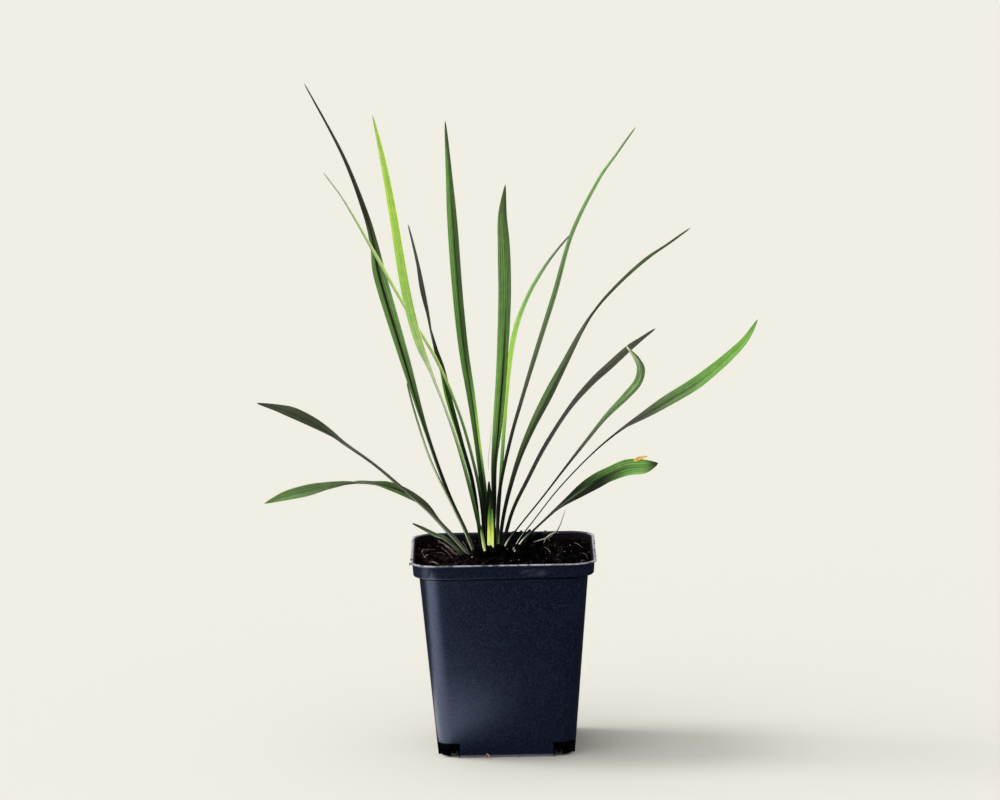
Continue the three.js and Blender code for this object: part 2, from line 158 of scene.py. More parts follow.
# Heights and half widths: the step from the wall to the band, and the bead that ends its lip.
STEP_OUT = [(89.3, 40.8), (89.55, 40.9), (89.7, 41.3), (89.8, 42.8), (89.95, 43.3), (90.25, 43.55)]
LIP_BEAD = [(95.7, 44.0), (95.85, 44.3), (96.1, 44.8), (96.4, 45), (96.7, 44.95), (96.9, 44.7),
            (97, 44.4), (96.95, 44.05), (96.75, 43.8), (96.4, 43.7)]
pot = closed_skin("nursery_pot", [
    wall_ring(FLOOR, WALL),
    wall_ring(EDGE, WALL),
    wall_ring(0, WALL - EDGE),
    wall_ring(0, EDGE),
    wall_ring(EDGE),
    wall_ring(OVER_SLOTS),
    wall_ring(WALL_MIDDLE),
    *[square_ring(half, SHOULDER["corner"] + half - SHOULDER["half"], z) for z, half in STEP_OUT],
    *[band_ring(z) for z in BAND_OUTSIDE],
    *[band_ring(z, half=half) for z, half in LIP_BEAD],
    band_ring(BAND_INSIDE["top"], WALL - EDGE),
    band_ring(BAND_INSIDE["foot"], WALL),
    wall_ring(INNER_STEP, WALL),
    wall_ring(WALL_MIDDLE, WALL),
    wall_ring(FLOOR + WALL, WALL),
])

# Each drain slot's reach in from the side of the foot, at two heights. PAST is how far a cutting
# tool goes beyond the plastic.
SLOT = [(-1, 10.2), (FLOOR, 9.2)]
PAST = 2
for sx in (-1, 1):
    for sy in (-1, 1):
        rings = []
        for z, reach in SLOT:
            inner, outer = FOOT["half"] - reach, FOOT["half"] + PAST
            xs = sorted((sx * inner, sx * outer))
            ys = sorted((sy * inner, sy * outer))
            rings.append(box_ring((xs[0], ys[0]), (xs[1], ys[1]), z))
        cut(pot, closed_skin("slot", rings))

CORNER_FOOT = {"reach": 6.1, "inset": 1.5, "lift": 0.8, "overlap": 0.5}
feet = closed_skin("feet", [
    wall_ring(CORNER_FOOT["lift"], CORNER_FOOT["inset"]),
    wall_ring(FLOOR + CORNER_FOOT["overlap"], CORNER_FOOT["inset"]),
])
cut(feet, closed_skin("hollow", [
    wall_ring(-PAST, CORNER_FOOT["inset"] + WALL),
    wall_ring(FLOOR + PAST, CORNER_FOOT["inset"] + WALL),
]))
reach, far = FOOT["half"] - CORNER_FOOT["reach"], 2 * FOOT["half"]
for half_x, half_y in ((reach, far), (far, reach)):
    rings = [box_ring((-half_x, -half_y), (half_x, half_y), z) for z in (-PAST, FLOOR + PAST)]
    cut(feet, closed_skin("between", rings))
cut(pot, feet, "UNION")

RIB = {"near": 24.5, "far": 26.1, "deep": 9, "bottom": 2.2, "sunk": 0.6}
for side in range(8):
    low, high = (RIB["near"], RIB["far"]) if side % 2 else (-RIB["far"], -RIB["near"])
    edge = RIB["sunk"] - FOOT["half"]
    quarter = Matrix.Rotation(math.pi / 2 * (side // 2), 3, "Z")
    rings = []
    for z in (RIB["bottom"], FLOOR + RIB["sunk"]):
        ring = box_ring((low, edge), (high, edge + RIB["deep"]), z)
        rings.append([quarter @ point for point in ring])
    cut(pot, closed_skin("rib", rings), "UNION")

DRAIN = {"radius": 3.5, "spacing": 17}
for x, y in ((0, 0), (1, 0), (-1, 0), (0, 1), (0, -1)):
    centre = (x * DRAIN["spacing"], y * DRAIN["spacing"])
    rings = [round_ring(*centre, DRAIN["radius"], z) for z in (FLOOR - PAST, FLOOR + WALL + PAST)]
    cut(pot, closed_skin("drain", rings))


def add_node(tree, kind, feeds=None, **settings):
    """A new node with its settings. Each input named in feeds takes a value or another socket."""
    node = tree.nodes.new(kind)
    for name, value in settings.items():
        setattr(node, name, value)
    for key, value in (feeds or {}).items():
        if isinstance(value, bpy.types.NodeSocket):
            tree.links.new(value, node.inputs[key])
        else:
            node.inputs[key].default_value = value
    return node


def made_by(tree, kind, feeds=None, **settings):
    """The first output of a new node."""
    return add_node(tree, kind, feeds, **settings).outputs[0]


def maths(tree, operation, *values):
    return made_by(tree, "ShaderNodeMath", dict(enumerate(values)), operation=operation)


def times(tree, *values):
    """The product of any number of values."""
    product = values[0]
    for value in values[1:]:
        product = maths(tree, "MULTIPLY", product, value)
    return product


def axes(tree, vector):
    """A vector's three sockets, by the names X, Y and Z."""
    return add_node(tree, "ShaderNodeSeparateXYZ", {0: vector}).outputs


def new_material(name, **values):
    """A material, its tree and its main shader, whose inputs take the values that are given."""
    material = bpy.data.materials.new(name)
    material.use_nodes = True
    shader = material.node_tree.nodes["Principled BSDF"]
    for key, value in values.items():
        shader.inputs[key.replace("_", " ")].default_value = value
    return material, material.node_tree, shader


def on_object(tree):
    """The place on the object, which the patterns follow."""
    return add_node(tree, "ShaderNodeTexCoord").outputs["Object"]


def noise(tree, place, scale, detail=2.0, roughness=0.5):
    feeds = {"Vector": place, "Scale": scale, "Detail": detail, "Roughness": roughness}
    return add_node(tree, "ShaderNodeTexNoise", feeds).outputs["Fac"]


def spread(tree, value, low, high, to_low=0.0, to_high=1.0):
    """A value's range, stretched smoothly to another one."""
    feeds = {0: value, 1: low, 2: high, 3: to_low, 4: to_high}
    return made_by(tree, "ShaderNodeMapRange", feeds, interpolation_type="SMOOTHSTEP")


def zone(tree, axis, limits, to_low=0.0, to_high=1.0):
    """A smooth mask along an axis, from where it starts to where it is full, in millimetres."""
    start, full = limits
    return spread(tree, axis, start * MM, full * MM, to_low, to_high)


def mixed(tree, share, first, second):
    """A colour between two others."""
    feeds = {"Factor": share, 6: first, 7: second}
    return add_node(tree, "ShaderNodeMix", feeds, data_type="RGBA").outputs[2]


def paint(tree, shader, colour):
    tree.links.new(colour, shader.inputs["Base Color"])


def emboss(tree, shader, height, strength, depth):
    """Fine relief in a surface, as deep as the given millimetres."""
    feeds = {"Height": height, "Strength": strength, "Distance": depth * MM}
    tree.links.new(made_by(tree, "ShaderNodeBump", feeds), shader.inputs["Normal"])


def dress(piece):
    """Hangs a piece on the plant's one body."""
    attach(piece, "root")


NAVY = (0.0032, 0.0054, 0.0185, 1)
NAVY_SPECK = (0.0140, 0.0200, 0.0550, 1)
DUST = (0.0145, 0.0195, 0.0400, 1)
SMEARED = (0.035, 0.040, 0.062, 1)
# A lavender grey for scuffs on the lip and hem, and for a painted highlight along the lip's bead.
SCUFF_AND_HIGHLIGHT = (0.56, 0.53, 0.62, 1)
# Painted shade for the inner wall of the rim, above the soil.
INSIDE_SHADE = (0.0115, 0.0075, 0.0110, 1)
SHADED = (0.0010, 0.0010, 0.0013, 1)
SHEEN = (0.62, 0.72, 1.0, 1)
HEM_RUB = 0.35
CORNER_CENTRE = 32.4

# The smear's centre and half size on each axis, and where each kind of wear, painted highlight,
# painted shade or lowered gloss starts and where it is full.
SMEAR = {"X": (15, 9), "Z": (92.8, 2.2)}
ZONES = {
    "lip": (96.2, 96.75),
    "front": (44, 38),
    "hem": (1.6, 0.5),
    "inside": (11.1, 10.9),
    "band": (90.2, 90.8),
    "feet": (22.6, 22.9),
    "foot_top": (7.6, 6.9),
    "step_top": (90.3, 89.9),
    "step_foot": (88.7, 89.3),
    "upper": (35, 88),
    "off_corner": (-38, -26),
}
GLOSS = {"clean": 0.5, "painted_shade": 0.03, "dull": 0.45}
LOW_DULLNESS = 0.45
plastic, tree, shader = new_material("navy_plastic", Roughness=0.3, Specular_Tint=SHEEN)
place = on_object(tree)
spot = axes(tree, place)
speck = spread(tree, noise(tree, place, 1250, 3, 0.65), 0.47, 0.63)
colour = mixed(tree, speck, NAVY, NAVY_SPECK)
dusty = spread(tree, noise(tree, place, 60, 6, 0.7), 0.52, 0.75, 0, 0.55)
colour = mixed(tree, dusty, colour, DUST)
away = []
for axis, (centre, half) in SMEAR.items():
    off = maths(tree, "DIVIDE", maths(tree, "SUBTRACT", spot[axis], centre * MM), half * MM)
    away.append(maths(tree, "POWER", off, 2.0))
streaky = spread(tree, noise(tree, place, 300, 4, 0.7), 0.4, 0.62)
smear = times(tree, spread(tree, maths(tree, "ADD", *away), 0.2, 1.0, 1.0, 0.0), streaky)
colour = mixed(tree, smear, colour, SMEARED)
# The lip's top is painted lighter: partly scuffs, partly a painted highlight where its bead catches the
# light, fading towards the back.
lip = zone(tree, spot["Z"], ZONES["lip"])
scuffs_and_glints = spread(tree, noise(tree, place, 190, 5, 0.7), 0.36, 0.6, 0.12, 1.0)
at_front = zone(tree, spot["Y"], ZONES["front"], 0.06, 1.0)
colour = mixed(tree, times(tree, lip, scuffs_and_glints, at_front), colour, SCUFF_AND_HIGHLIGHT)
colour = mixed(tree, times(tree, zone(tree, spot["Z"], ZONES["hem"]), HEM_RUB), colour, SCUFF_AND_HIGHLIGHT)
across = maths(tree, "ABSOLUTE", spot["X"])
deep = maths(tree, "ABSOLUTE", spot["Y"])
past = []
for side in (across, deep):
    beyond = maths(tree, "MAXIMUM", maths(tree, "SUBTRACT", side, CORNER_CENTRE * MM), 0.0)
    past.append(maths(tree, "POWER", beyond, 2.0))
from_corner = maths(tree, "SQRT", maths(tree, "ADD", *past))
# Painted shade darkens the inner wall of the rim above the soil.
inside = times(tree, zone(tree, from_corner, ZONES["inside"]), zone(tree, spot["Z"], ZONES["band"]))
colour = mixed(tree, inside, colour, INSIDE_SHADE)
nearer = maths(tree, "MINIMUM", across, deep)
at_foot = times(tree, zone(tree, nearer, ZONES["feet"]), zone(tree, spot["Z"], ZONES["foot_top"]))
under_step = times(tree, zone(tree, spot["Z"], ZONES["step_top"]),
                   zone(tree, spot["Z"], ZONES["step_foot"]))
shaded = maths(tree, "MAXIMUM", at_foot, under_step)
paint(tree, shader, mixed(tree, shaded, colour, SHADED))
# The gloss is lowered where shade is painted: inside the rim, on the feet and under the step.
painted_shade = maths(tree, "MAXIMUM", inside, shaded)
gloss = spread(tree, painted_shade, 0.0, 1.0, GLOSS["clean"], GLOSS["painted_shade"])
dull = zone(tree, spot["Z"], ZONES["upper"], LOW_DULLNESS, 1.0)
dull = times(tree, dull, at_front, zone(tree, spot["X"], ZONES["off_corner"]))
gloss = times(tree, gloss, spread(tree, dull, 0.0, 1.0, 1.0, GLOSS["dull"]))
tree.links.new(gloss, shader.inputs["Specular IOR Level"])
emboss(tree, shader, noise(tree, place, 1300, 3, 0.7), 0.75, 0.12)

pot.data.materials.clear()
pot.data.materials.append(plastic)
pot.data.shade_smooth()
pot.data.set_sharp_from_angle(angle=math.radians(32))
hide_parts("pot")
dress(pot)


# Soil: dark peat-based potting soil that fills the pot to the rim band and rises in a low mound
# round the plant. Its closed bed is roughened by noise, and crumbs of peat and bark lie on it.
GAP = 0.3
SOIL_LEVEL = 92.6
SOIL_EDGE = 92.1
MOUND = {"x": -5, "y": 8, "height": 3.4, "spread": 10.5}
BED_RINGS = 34
ROUGH_DEPTH = 0.6


def soil_height(x, y):
    away = math.hypot(x - MOUND["x"], y - MOUND["y"]) / MOUND["spread"]
    return SOIL_LEVEL + MOUND["height"] * math.exp(-away * away / 2)


def soil_rings():
    edge = band_ring(SOIL_EDGE, WALL + GAP)
    foot = wall_ring(FLOOR + WALL + GAP, WALL + GAP)
    rings = [foot, wall_ring(INNER_STEP, WALL + GAP), edge]
    for ring in range(BED_RINGS):
        share = 1 - ring / BED_RINGS
        row = []
        for point in edge:
            x, y = point.x * share / MM, point.y * share / MM
            row.append(Vector((x, y, soil_height(x, y))) * MM)
        rings.append(row)
    return rings


def new_tree(name, inputs):
    """An empty geometry tree with named inputs, its input sockets and its output node."""
    tree = bpy.data.node_groups.new(name, "GeometryNodeTree")
    face = tree.interface
    face.new_socket("Geometry", in_out="INPUT", socket_type="NodeSocketGeometry")
    for label, kind, value in inputs:
        socket = face.new_socket(label, in_out="INPUT", socket_type="NodeSocket" + kind)
        if value is not None:
            socket.default_value = value
    face.new_socket("Geometry", in_out="OUTPUT", socket_type="NodeSocketGeometry")
    given = tree.nodes.new("NodeGroupInput").outputs
    return tree, given, tree.nodes.new("NodeGroupOutput")


def grow(piece, tree, **values):
    """Runs a geometry tree on a piece with the given inputs, and keeps the plain mesh it makes."""
    modifier = piece.modifiers.new(tree.name, "NODES")
    modifier.node_group = tree
    for item in tree.interface.items_tree:
        key = item.name.replace(" ", "_").lower()
        if item.item_type == "SOCKET" and item.in_out == "INPUT" and key in values:
            modifier[item.identifier] = values[key]
    settle(piece)


def position(tree):
    return made_by(tree, "GeometryNodeInputPosition")


def kept(tree, label, kind="FLOAT"):
    """The attribute of that name in a geometry tree."""
    return made_by(tree, "GeometryNodeInputNamedAttribute", {"Name": label}, data_type=kind)


def moved(tree, geometry, **to):
    """Geometry set to a Position, or moved by an Offset."""
    return made_by(tree, "GeometryNodeSetPosition", {"Geometry": geometry, **to})


def vectors(tree, operation, *values):
    feeds = dict(enumerate(values))
    node = add_node(tree, "ShaderNodeVectorMath", feeds, operation=operation)
    return node.outputs["Value" if operation in ("DOT_PRODUCT", "LENGTH") else "Vector"]


def scaled(tree, vector, factor):
    feeds = {"Vector": vector, "Scale": factor}
    return made_by(tree, "ShaderNodeVectorMath", feeds, operation="SCALE")


def random_between(tree, low, high, seed, kind="FLOAT"):
    """A random number, whole number or vector for each element."""
    first = {"FLOAT_VECTOR": 0, "FLOAT": 2, "INT": 4}[kind]
    feeds = {first: low, first + 1: high, "Seed": seed}
    node = add_node(tree, "FunctionNodeRandomValue", feeds, data_type=kind)
    return node.outputs[first // 2]


def store(tree, geometry, label, value, domain="POINT"):
    feeds = {"Geometry": geometry, "Name": label, "Value": value}
    return made_by(tree, "GeometryNodeStoreNamedAttribute", feeds, data_type="FLOAT", domain=domain)


def finished(tree, result, geometry, material):
    """Ends a geometry tree: real, smooth faces with their material."""
    real = made_by(tree, "GeometryNodeRealizeInstances", {"Geometry": geometry})
    shaded = made_by(tree, "GeometryNodeSetShadeSmooth", {0: real, "Shade Smooth": True})
    feeds = {"Geometry": shaded, "Material": material}
    tree.links.new(made_by(tree, "GeometryNodeSetMaterial", feeds), result.inputs[0])


def roughen_tree():
    """Subdivides the bed and lifts its top by two sizes of noise."""
    tree, given, result = new_tree("Rough soil", [
        ("Level", "Float", 92 * MM),
        ("Clod lift", "Float", 3.2 * MM),
        ("Grit lift", "Float", 1.5 * MM),
        ("Material", "Material", None),
    ])
    fine = made_by(tree, "GeometryNodeSubdivideMesh", {0: given["Geometry"], 1: 1})
    place = position(tree)
    full = maths(tree, "ADD", given["Level"], ROUGH_DEPTH * MM)
    upper = spread(tree, axes(tree, place)["Z"], given["Level"], full)
    clods = maths(tree, "SUBTRACT", noise(tree, place, 190, 3, 0.6), 0.5)
    grit = maths(tree, "SUBTRACT", noise(tree, place, 700, 3, 0.7), 0.5)
    lift = times(tree, clods, given["Clod lift"])
    lift = maths(tree, "ADD", lift, times(tree, grit, given["Grit lift"]))
    offset = made_by(tree, "ShaderNodeCombineXYZ", {"Z": times(tree, lift, upper)})
    finished(tree, result, moved(tree, fine, Offset=offset), given["Material"])
    return tree


def lump_tree(name, scattered, kept_bed=False):
    """Rough lumps, scattered over a surface, or one on each given vertex and as large as it says."""
    tree, given, result = new_tree(name, [
        ("Density", "Float", 1000.0),
        ("Smallest", "Float", 0.2 * MM),
        ("Largest", "Float", 0.8 * MM),
        ("Roundness", "Int", 1),
        ("Level", "Float", 92 * MM),
        ("Seed", "Int", 1),
        ("Material", "Material", None),
    ])
    shapes = add_node(tree, "GeometryNodeJoinGeometry")
    for variant in range(3):
        feeds = {"Radius": 1.0, "Subdivisions": given["Roundness"]}
        ball = made_by(tree, "GeometryNodeMeshIcoSphere", feeds)
        place = position(tree)
        shift = vectors(tree, "ADD", place, (7.0 * variant, 3.0, 1.0))
        swell = spread(tree, noise(tree, shift, 1.1, 2, 0.6), 0.3, 0.7, 0.55, 1.25)
        lump = moved(tree, ball, Position=scaled(tree, place, swell))
        one = made_by(tree, "GeometryNodeGeometryToInstance", {0: lump})
        tree.links.new(one, shapes.inputs[0])
    if scattered:
        rise = axes(tree, made_by(tree, "GeometryNodeInputNormal"))["Z"]
        height = axes(tree, position(tree))["Z"]
        on_top = maths(tree, "GREATER_THAN", height, given["Level"])
        facing = times(tree, on_top, maths(tree, "GREATER_THAN", rise, 0.2))
        feeds = {"Mesh": given["Geometry"], "Selection": facing, "Density": given["Density"],
                 "Seed": given["Seed"]}
        points = made_by(tree, "GeometryNodeDistributePointsOnFaces", feeds)
        even = random_between(tree, 0.0, 1.0, 12)
        small = maths(tree, "POWER", even, 3.5)
        size = spread(tree, small, 0, 1, given["Smallest"], given["Largest"])
    else:
        points = made_by(tree, "GeometryNodeMeshToPoints", {0: given["Geometry"]})
        size = kept(tree, "thick")
    turn = random_between(tree, (0.0, 0.0, 0.0), (math.tau,) * 3, 11, "FLOAT_VECTOR")
    shape = random_between(tree, (0.6, 0.6, 0.45), (1.25, 1.25, 0.9), 13, "FLOAT_VECTOR")
    lumps = made_by(tree, "GeometryNodeInstanceOnPoints", {
        "Points": points,
        "Instance": shapes.outputs[0],
        "Pick Instance": True,
        "Instance Index": random_between(tree, 0, 2, 14, "INT"),
        "Rotation": turn,
        "Scale": scaled(tree, shape, size),
    })
    shade = random_between(tree, 0.0, 1.0, 15)
    lumps = store(tree, lumps, "shade", shade, domain="INSTANCE")
    whole = add_node(tree, "GeometryNodeJoinGeometry", {0: lumps})
    if kept_bed:
        tree.links.new(given["Geometry"], whole.inputs[0])
    finished(tree, result, whole.outputs[0], given["Material"])
    return tree


def attribute(tree, label):
    """The attribute of that name in a material."""
    return add_node(tree, "ShaderNodeAttribute", attribute_name=label).outputs["Fac"]


# The peat is painted near black: partly its own dark colour, partly painted shade for the inside of the
# pot.
DARK_PEAT_AND_SHADE = (0.0004, 0.0002, 0.0002, 1)
BROWN_PEAT = (0.0270, 0.0120, 0.0135, 1)
DRY_CRUMB = (0.110, 0.066, 0.064, 1)
# The soil is browner towards the left.
BROWNER_LEFT = (0, -18)
peat, tree, shader = new_material("potting_soil", Roughness=0.9, Specular_IOR_Level=0.02)
place = on_object(tree)
patchy = spread(tree, noise(tree, place, 260, 5, 0.7), 0.46, 0.66)
left_brown = zone(tree, axes(tree, place)["X"], BROWNER_LEFT, 0.18, 1.0)
colour = mixed(tree, times(tree, patchy, left_brown), DARK_PEAT_AND_SHADE, BROWN_PEAT)
pale_one = spread(tree, attribute(tree, "shade"), 0.86, 0.98)
pale_patch = spread(tree, noise(tree, place, 90, 2, 0.5), 0.4, 0.6)
paint(tree, shader, mixed(tree, times(tree, pale_one, left_brown, pale_patch), colour, DRY_CRUMB))
emboss(tree, shader, noise(tree, place, 2400, 3, 0.7), 0.8, 0.15)

soil = closed_skin("potting_soil", soil_rings())
grow(soil, roughen_tree(), material=peat)
surface = soil.data.copy()
crumb_tree = lump_tree("Soil crumbs", scattered=True, kept_bed=True)
grow(soil, crumb_tree, density=3.2e5, smallest=0.25 * MM, largest=2.0 * MM, material=peat, seed=3)
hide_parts("soil")
dress(soil)


# Bits on the soil: pale grit and grains of perlite, dead leaf threads and fine roots, and black
# clods at the foot of the plant and along the back wall, which are partly painted shade for the
# hollows there. Each kind is one piece. Most bits are scattered, and those that stand out lie
# where the rows of x, y and size or height put them.
below = BVHTree.FromPolygons(
    [vertex.co for vertex in surface.vertices],
    [face.vertices for face in surface.polygons],
)
ABOVE_ALL = 200


def on_soil(x, y, lift=0.0):
    """The height of the soil under a point, in millimetres, with a lift above it."""
    hit = below.ray_cast(Vector((x, y, ABOVE_ALL)) * MM, Vector((0, 0, -1)))[0]
    return hit.z / MM + lift


def spots(name, rows, edges=()):
    """Vertices at x, y, z with a thickness at each, joined by edges where they are given."""
    mesh = bpy.data.meshes.new(name)
    mesh.from_pydata([Vector(row[:3]) * MM for row in rows], edges, [])
    thick = mesh.attributes.new("thick", "FLOAT", "POINT")
    thick.data.foreach_set("value", [row[3] * MM for row in rows])
    return placed(name, mesh)


def strands(name, lines):
    """Lines of vertices, each at x, y, z with the strand's thickness there."""
    rows, edges = [], []
    for line in lines:
        edges += [(len(rows) + k, len(rows) + k + 1) for k in range(len(line) - 1)]
        rows += line
    return spots(name, rows, edges)


def swayed(tree, line, scale, amount, centre=(0.5, 0.5, 0.5)):
    """A line that wanders with a noise of the given scale, by up to the given amount."""
    feeds = {"Vector": position(tree), "Scale": scale}
    sway = add_node(tree, "ShaderNodeTexNoise", feeds).outputs["Color"]
    offset = scaled(tree, vectors(tree, "SUBTRACT", sway, centre), amount)
    return moved(tree, line, Offset=offset)


def smooth_line(tree, geometry):
    line = made_by(tree, "GeometryNodeMeshToCurve", {0: geometry})
    return made_by(tree, "GeometryNodeCurveSplineType", {0: line}, spline_type="CATMULL_ROM")


def strand_tree():
    """Sweeps a round section along every line, as thick as its vertices say."""
    tree, given, result = new_tree("Strands", [
        ("Sides", "Int", 6),
        ("Steps", "Int", 20),
        ("Wander", "Float", 0.2 * MM),
        ("Material", "Material", None),
    ])
    feeds = {"Curve": smooth_line(tree, given["Geometry"]), "Count": given["Steps"]}
    line = made_by(tree, "GeometryNodeResampleCurve", feeds)
    line = swayed(tree, line, 350.0, given["Wander"])
    feeds = {"Resolution": given["Sides"], "Radius": 1.0}
    ring = made_by(tree, "GeometryNodeCurvePrimitiveCircle", feeds)
    feeds = {"Curve": line, "Profile Curve": ring, "Scale": times(tree, kept(tree, "thick"), 0.5),
             "Fill Caps": True}
    finished(tree, result, made_by(tree, "GeometryNodeCurveToMesh", feeds), given["Material"])
    return tree


def loose_tree():
    """Short wandering threads, scattered over a surface."""
    tree, given, result = new_tree("Loose threads", [
        ("Density", "Float", 4000.0),
        ("Length", "Float", 6 * MM),
        ("Thickness", "Float", 0.12 * MM),
        ("Level", "Float", 92 * MM),
        ("Wander", "Float", 2 * MM),
        ("Seed", "Int", 1),
        ("Material", "Material", None),
    ])
    height = axes(tree, position(tree))["Z"]
    points = made_by(tree, "GeometryNodeDistributePointsOnFaces", {
        "Mesh": given["Geometry"],
        "Selection": maths(tree, "GREATER_THAN", height, given["Level"]),
        "Density": given["Density"],
        "Seed": given["Seed"],
    })
    arc = made_by(tree, "GeometryNodeCurveQuadraticBezier", {
        "Start": (-0.5, 0.0, 0.0),
        "Middle": (0.0, 0.35, 0.25),
        "End": (0.5, 0.0, 0.05),
        "Resolution": 8,
    })
    turn = random_between(tree, (-0.25, -0.25, 0.0), (0.25, 0.25, math.tau), 21, "FLOAT_VECTOR")
    size = times(tree, random_between(tree, 0.4, 1.0, 22), given["Length"])
    arcs = made_by(tree, "GeometryNodeInstanceOnPoints", {
        "Points": points,
        "Instance": arc,
        "Rotation": turn,
        "Scale": scaled(tree, (1.0, 1.0, 1.0), size),
    })
    arcs = made_by(tree, "GeometryNodeRealizeInstances", {"Geometry": arcs})
    arcs = swayed(tree, arcs, 260.0, given["Wander"], (0.5, 0.5, 0.35))
    feeds = {"Resolution": 4, "Radius": times(tree, given["Thickness"], 0.5)}
    ring = made_by(tree, "GeometryNodeCurvePrimitiveCircle", feeds)
    feeds = {"Curve": arcs, "Profile Curve": ring, "Fill Caps": True}
    finished(tree, result, made_by(tree, "GeometryNodeCurveToMesh", feeds), given["Material"])
    return tree


def plain_material(name, first, second, scale, **values):
    """A dull material that wavers between two colours."""
    material, tree, shader = new_material(name, **values)
    share = spread(tree, noise(tree, on_object(tree), scale, 4, 0.6), 0.35, 0.65)
    paint(tree, shader, mixed(tree, share, (*first, 1), (*second, 1)))
    return material


PALE_GRIT = [(0.50, 0.46, 0.44), (0.16, 0.12, 0.10)]
DEAD_THREAD = [(0.62, 0.50, 0.46), (0.24, 0.17, 0.15)]
FINE_ROOT = [(0.10, 0.060, 0.054), (0.020, 0.011, 0.010)]
# Near black: dirt on the rim, and clods that are partly painted shade.
BLACK_DIRT_AND_SHADE = [(0.0007, 0.0005, 0.0004), (0.0020, 0.0012, 0.0010)]
WHITE = [(0.72, 0.70, 0.68), (0.42, 0.40, 0.39)]
pale_grit = plain_material("pale_grit", *PALE_GRIT, 500, Roughness=0.8)
straw = plain_material("dead_thread", *DEAD_THREAD, 240, Roughness=0.7)
root = plain_material("fine_root", *FINE_ROOT, 200, Roughness=0.8)
clod = plain_material("wet_clod", *BLACK_DIRT_AND_SHADE, 300, Roughness=0.95, Specular_IOR_Level=0.05)

grit = placed("soil_grit", surface.copy())
grow(grit, lump_tree("Pale grit", scattered=True), density=4.2e4, smallest=0.12 * MM,
     largest=0.42 * MM, material=pale_grit, seed=8)
dress(grit)

# Each grain: x, y and its size.
PERLITE = [
    [-37.8, 6.8, 0.8], [-22.7, 5.4, 0.7], [-15.3, -6, 0.9], [-13.5, 30, 1.0], [-9.4, 14.9, 0.6],
    [1.1, 26.1, 0.6], [5.7, 8, 0.5], [2.0, 4.6, 1.1], [-9.3, -0.9, 1.5], [7.4, -9, 0.7],
    [19.6, 12, 0.7], [25.5, 25.1, 0.7], [32.9, 27.1, 0.9], [30.2, 8.4, 1.0], [2.6, 13, 0.8],
    [-36.5, -22, 0.7], [18.5, -33, 0.7], [39.5, -21, 0.9], [13, -16, 0.6], [-27, -30, 0.6],
    [8, 33, 0.8], [-6, -28, 0.5], [24, -24, 0.6], [-36, 26, 0.8],
]
PERLITE_RAISED = 0.2
perlite = spots("perlite", [
    [x, y, on_soil(x, y, PERLITE_RAISED * size), size / 2] for x, y, size in PERLITE
])
white = plain_material("perlite", *WHITE, 900, Roughness=0.7)
grow(perlite, lump_tree("Grains", scattered=False), roundness=2, material=white)
dress(perlite)

# Each clod: x, y, its height over the soil and its size. The clods are near black and stand
# in partly for the deep shade in front of the crown and against the back wall.
CLODS_AND_SHADE = [
    [-10.6, -1.8, 0.8, 1.8], [-6.4, -2.6, 1.8, 2.4], [-3.1, -2.0, 2.4, 2.4], [-0.2, -1.2, 1.9, 2.3],
    [-4.6, -5.6, 1.0, 2.0], [-8.6, -5.2, 0.7, 1.7], [0.4, -4.8, 0.8, 1.8], [3.8, -0.6, 0.8, 1.7],
    [-12.2, -2.8, 0.6, 1.7], [-1.6, 20, 1.6, 2.6], [4.8, 22, 1.8, 2.7], [10.8, 24, 1.6, 2.5],
    [-9.8, 21, 1.4, 2.4], [16.8, 27, 1.2, 2.4], [-16.8, 23, 0.8, 2.2], [20.5, 33, 1.0, 2.2],
    [7.6, 30, 2.3, 2.7], [0.6, 31, 2.1, 2.6], [-6.4, 30, 1.6, 2.5], [13.6, 33.5, 2.0, 2.6],
    [16.2, 8.6, 1.2, 2.4], [18.6, 8.0, 0.5, 1.9], [8.4, -4.2, 1.2, 2.2], [11.2, -3.8, 1.6, 2.2],
    [9.6, -2.8, 3.2, 2.3], [7.4, -1.8, 3.4, 2.1], [12.6, -1.8, 2.8, 2.0], [10.6, -2.4, 5.2, 2.0],
    [13.8, -3.2, 0.8, 2.0], [-12, 38, 1.0, 2.4], [-7.4, 38.4, 1.6, 2.7], [-2.6, 38.6, 2.2, 2.8],
    [2.4, 38.4, 2.5, 2.9], [7.2, 38.6, 2.6, 2.9], [12.2, 38.4, 2.4, 2.8], [17.2, 38.6, 2.0, 2.7],
    [22, 38.4, 1.2, 2.5],
]
clods = spots("peat_clods", [[x, y, on_soil(x, y, lift), size] for x, y, lift, size in CLODS_AND_SHADE])
grow(clods, lump_tree("Clods", scattered=False), roundness=3, material=clod)
dress(clods)

roots = placed("loose_roots", surface.copy())
grow(roots, loose_tree(), density=1.3e4, length=4 * MM, thickness=0.15 * MM, material=root, seed=5)
dress(roots)

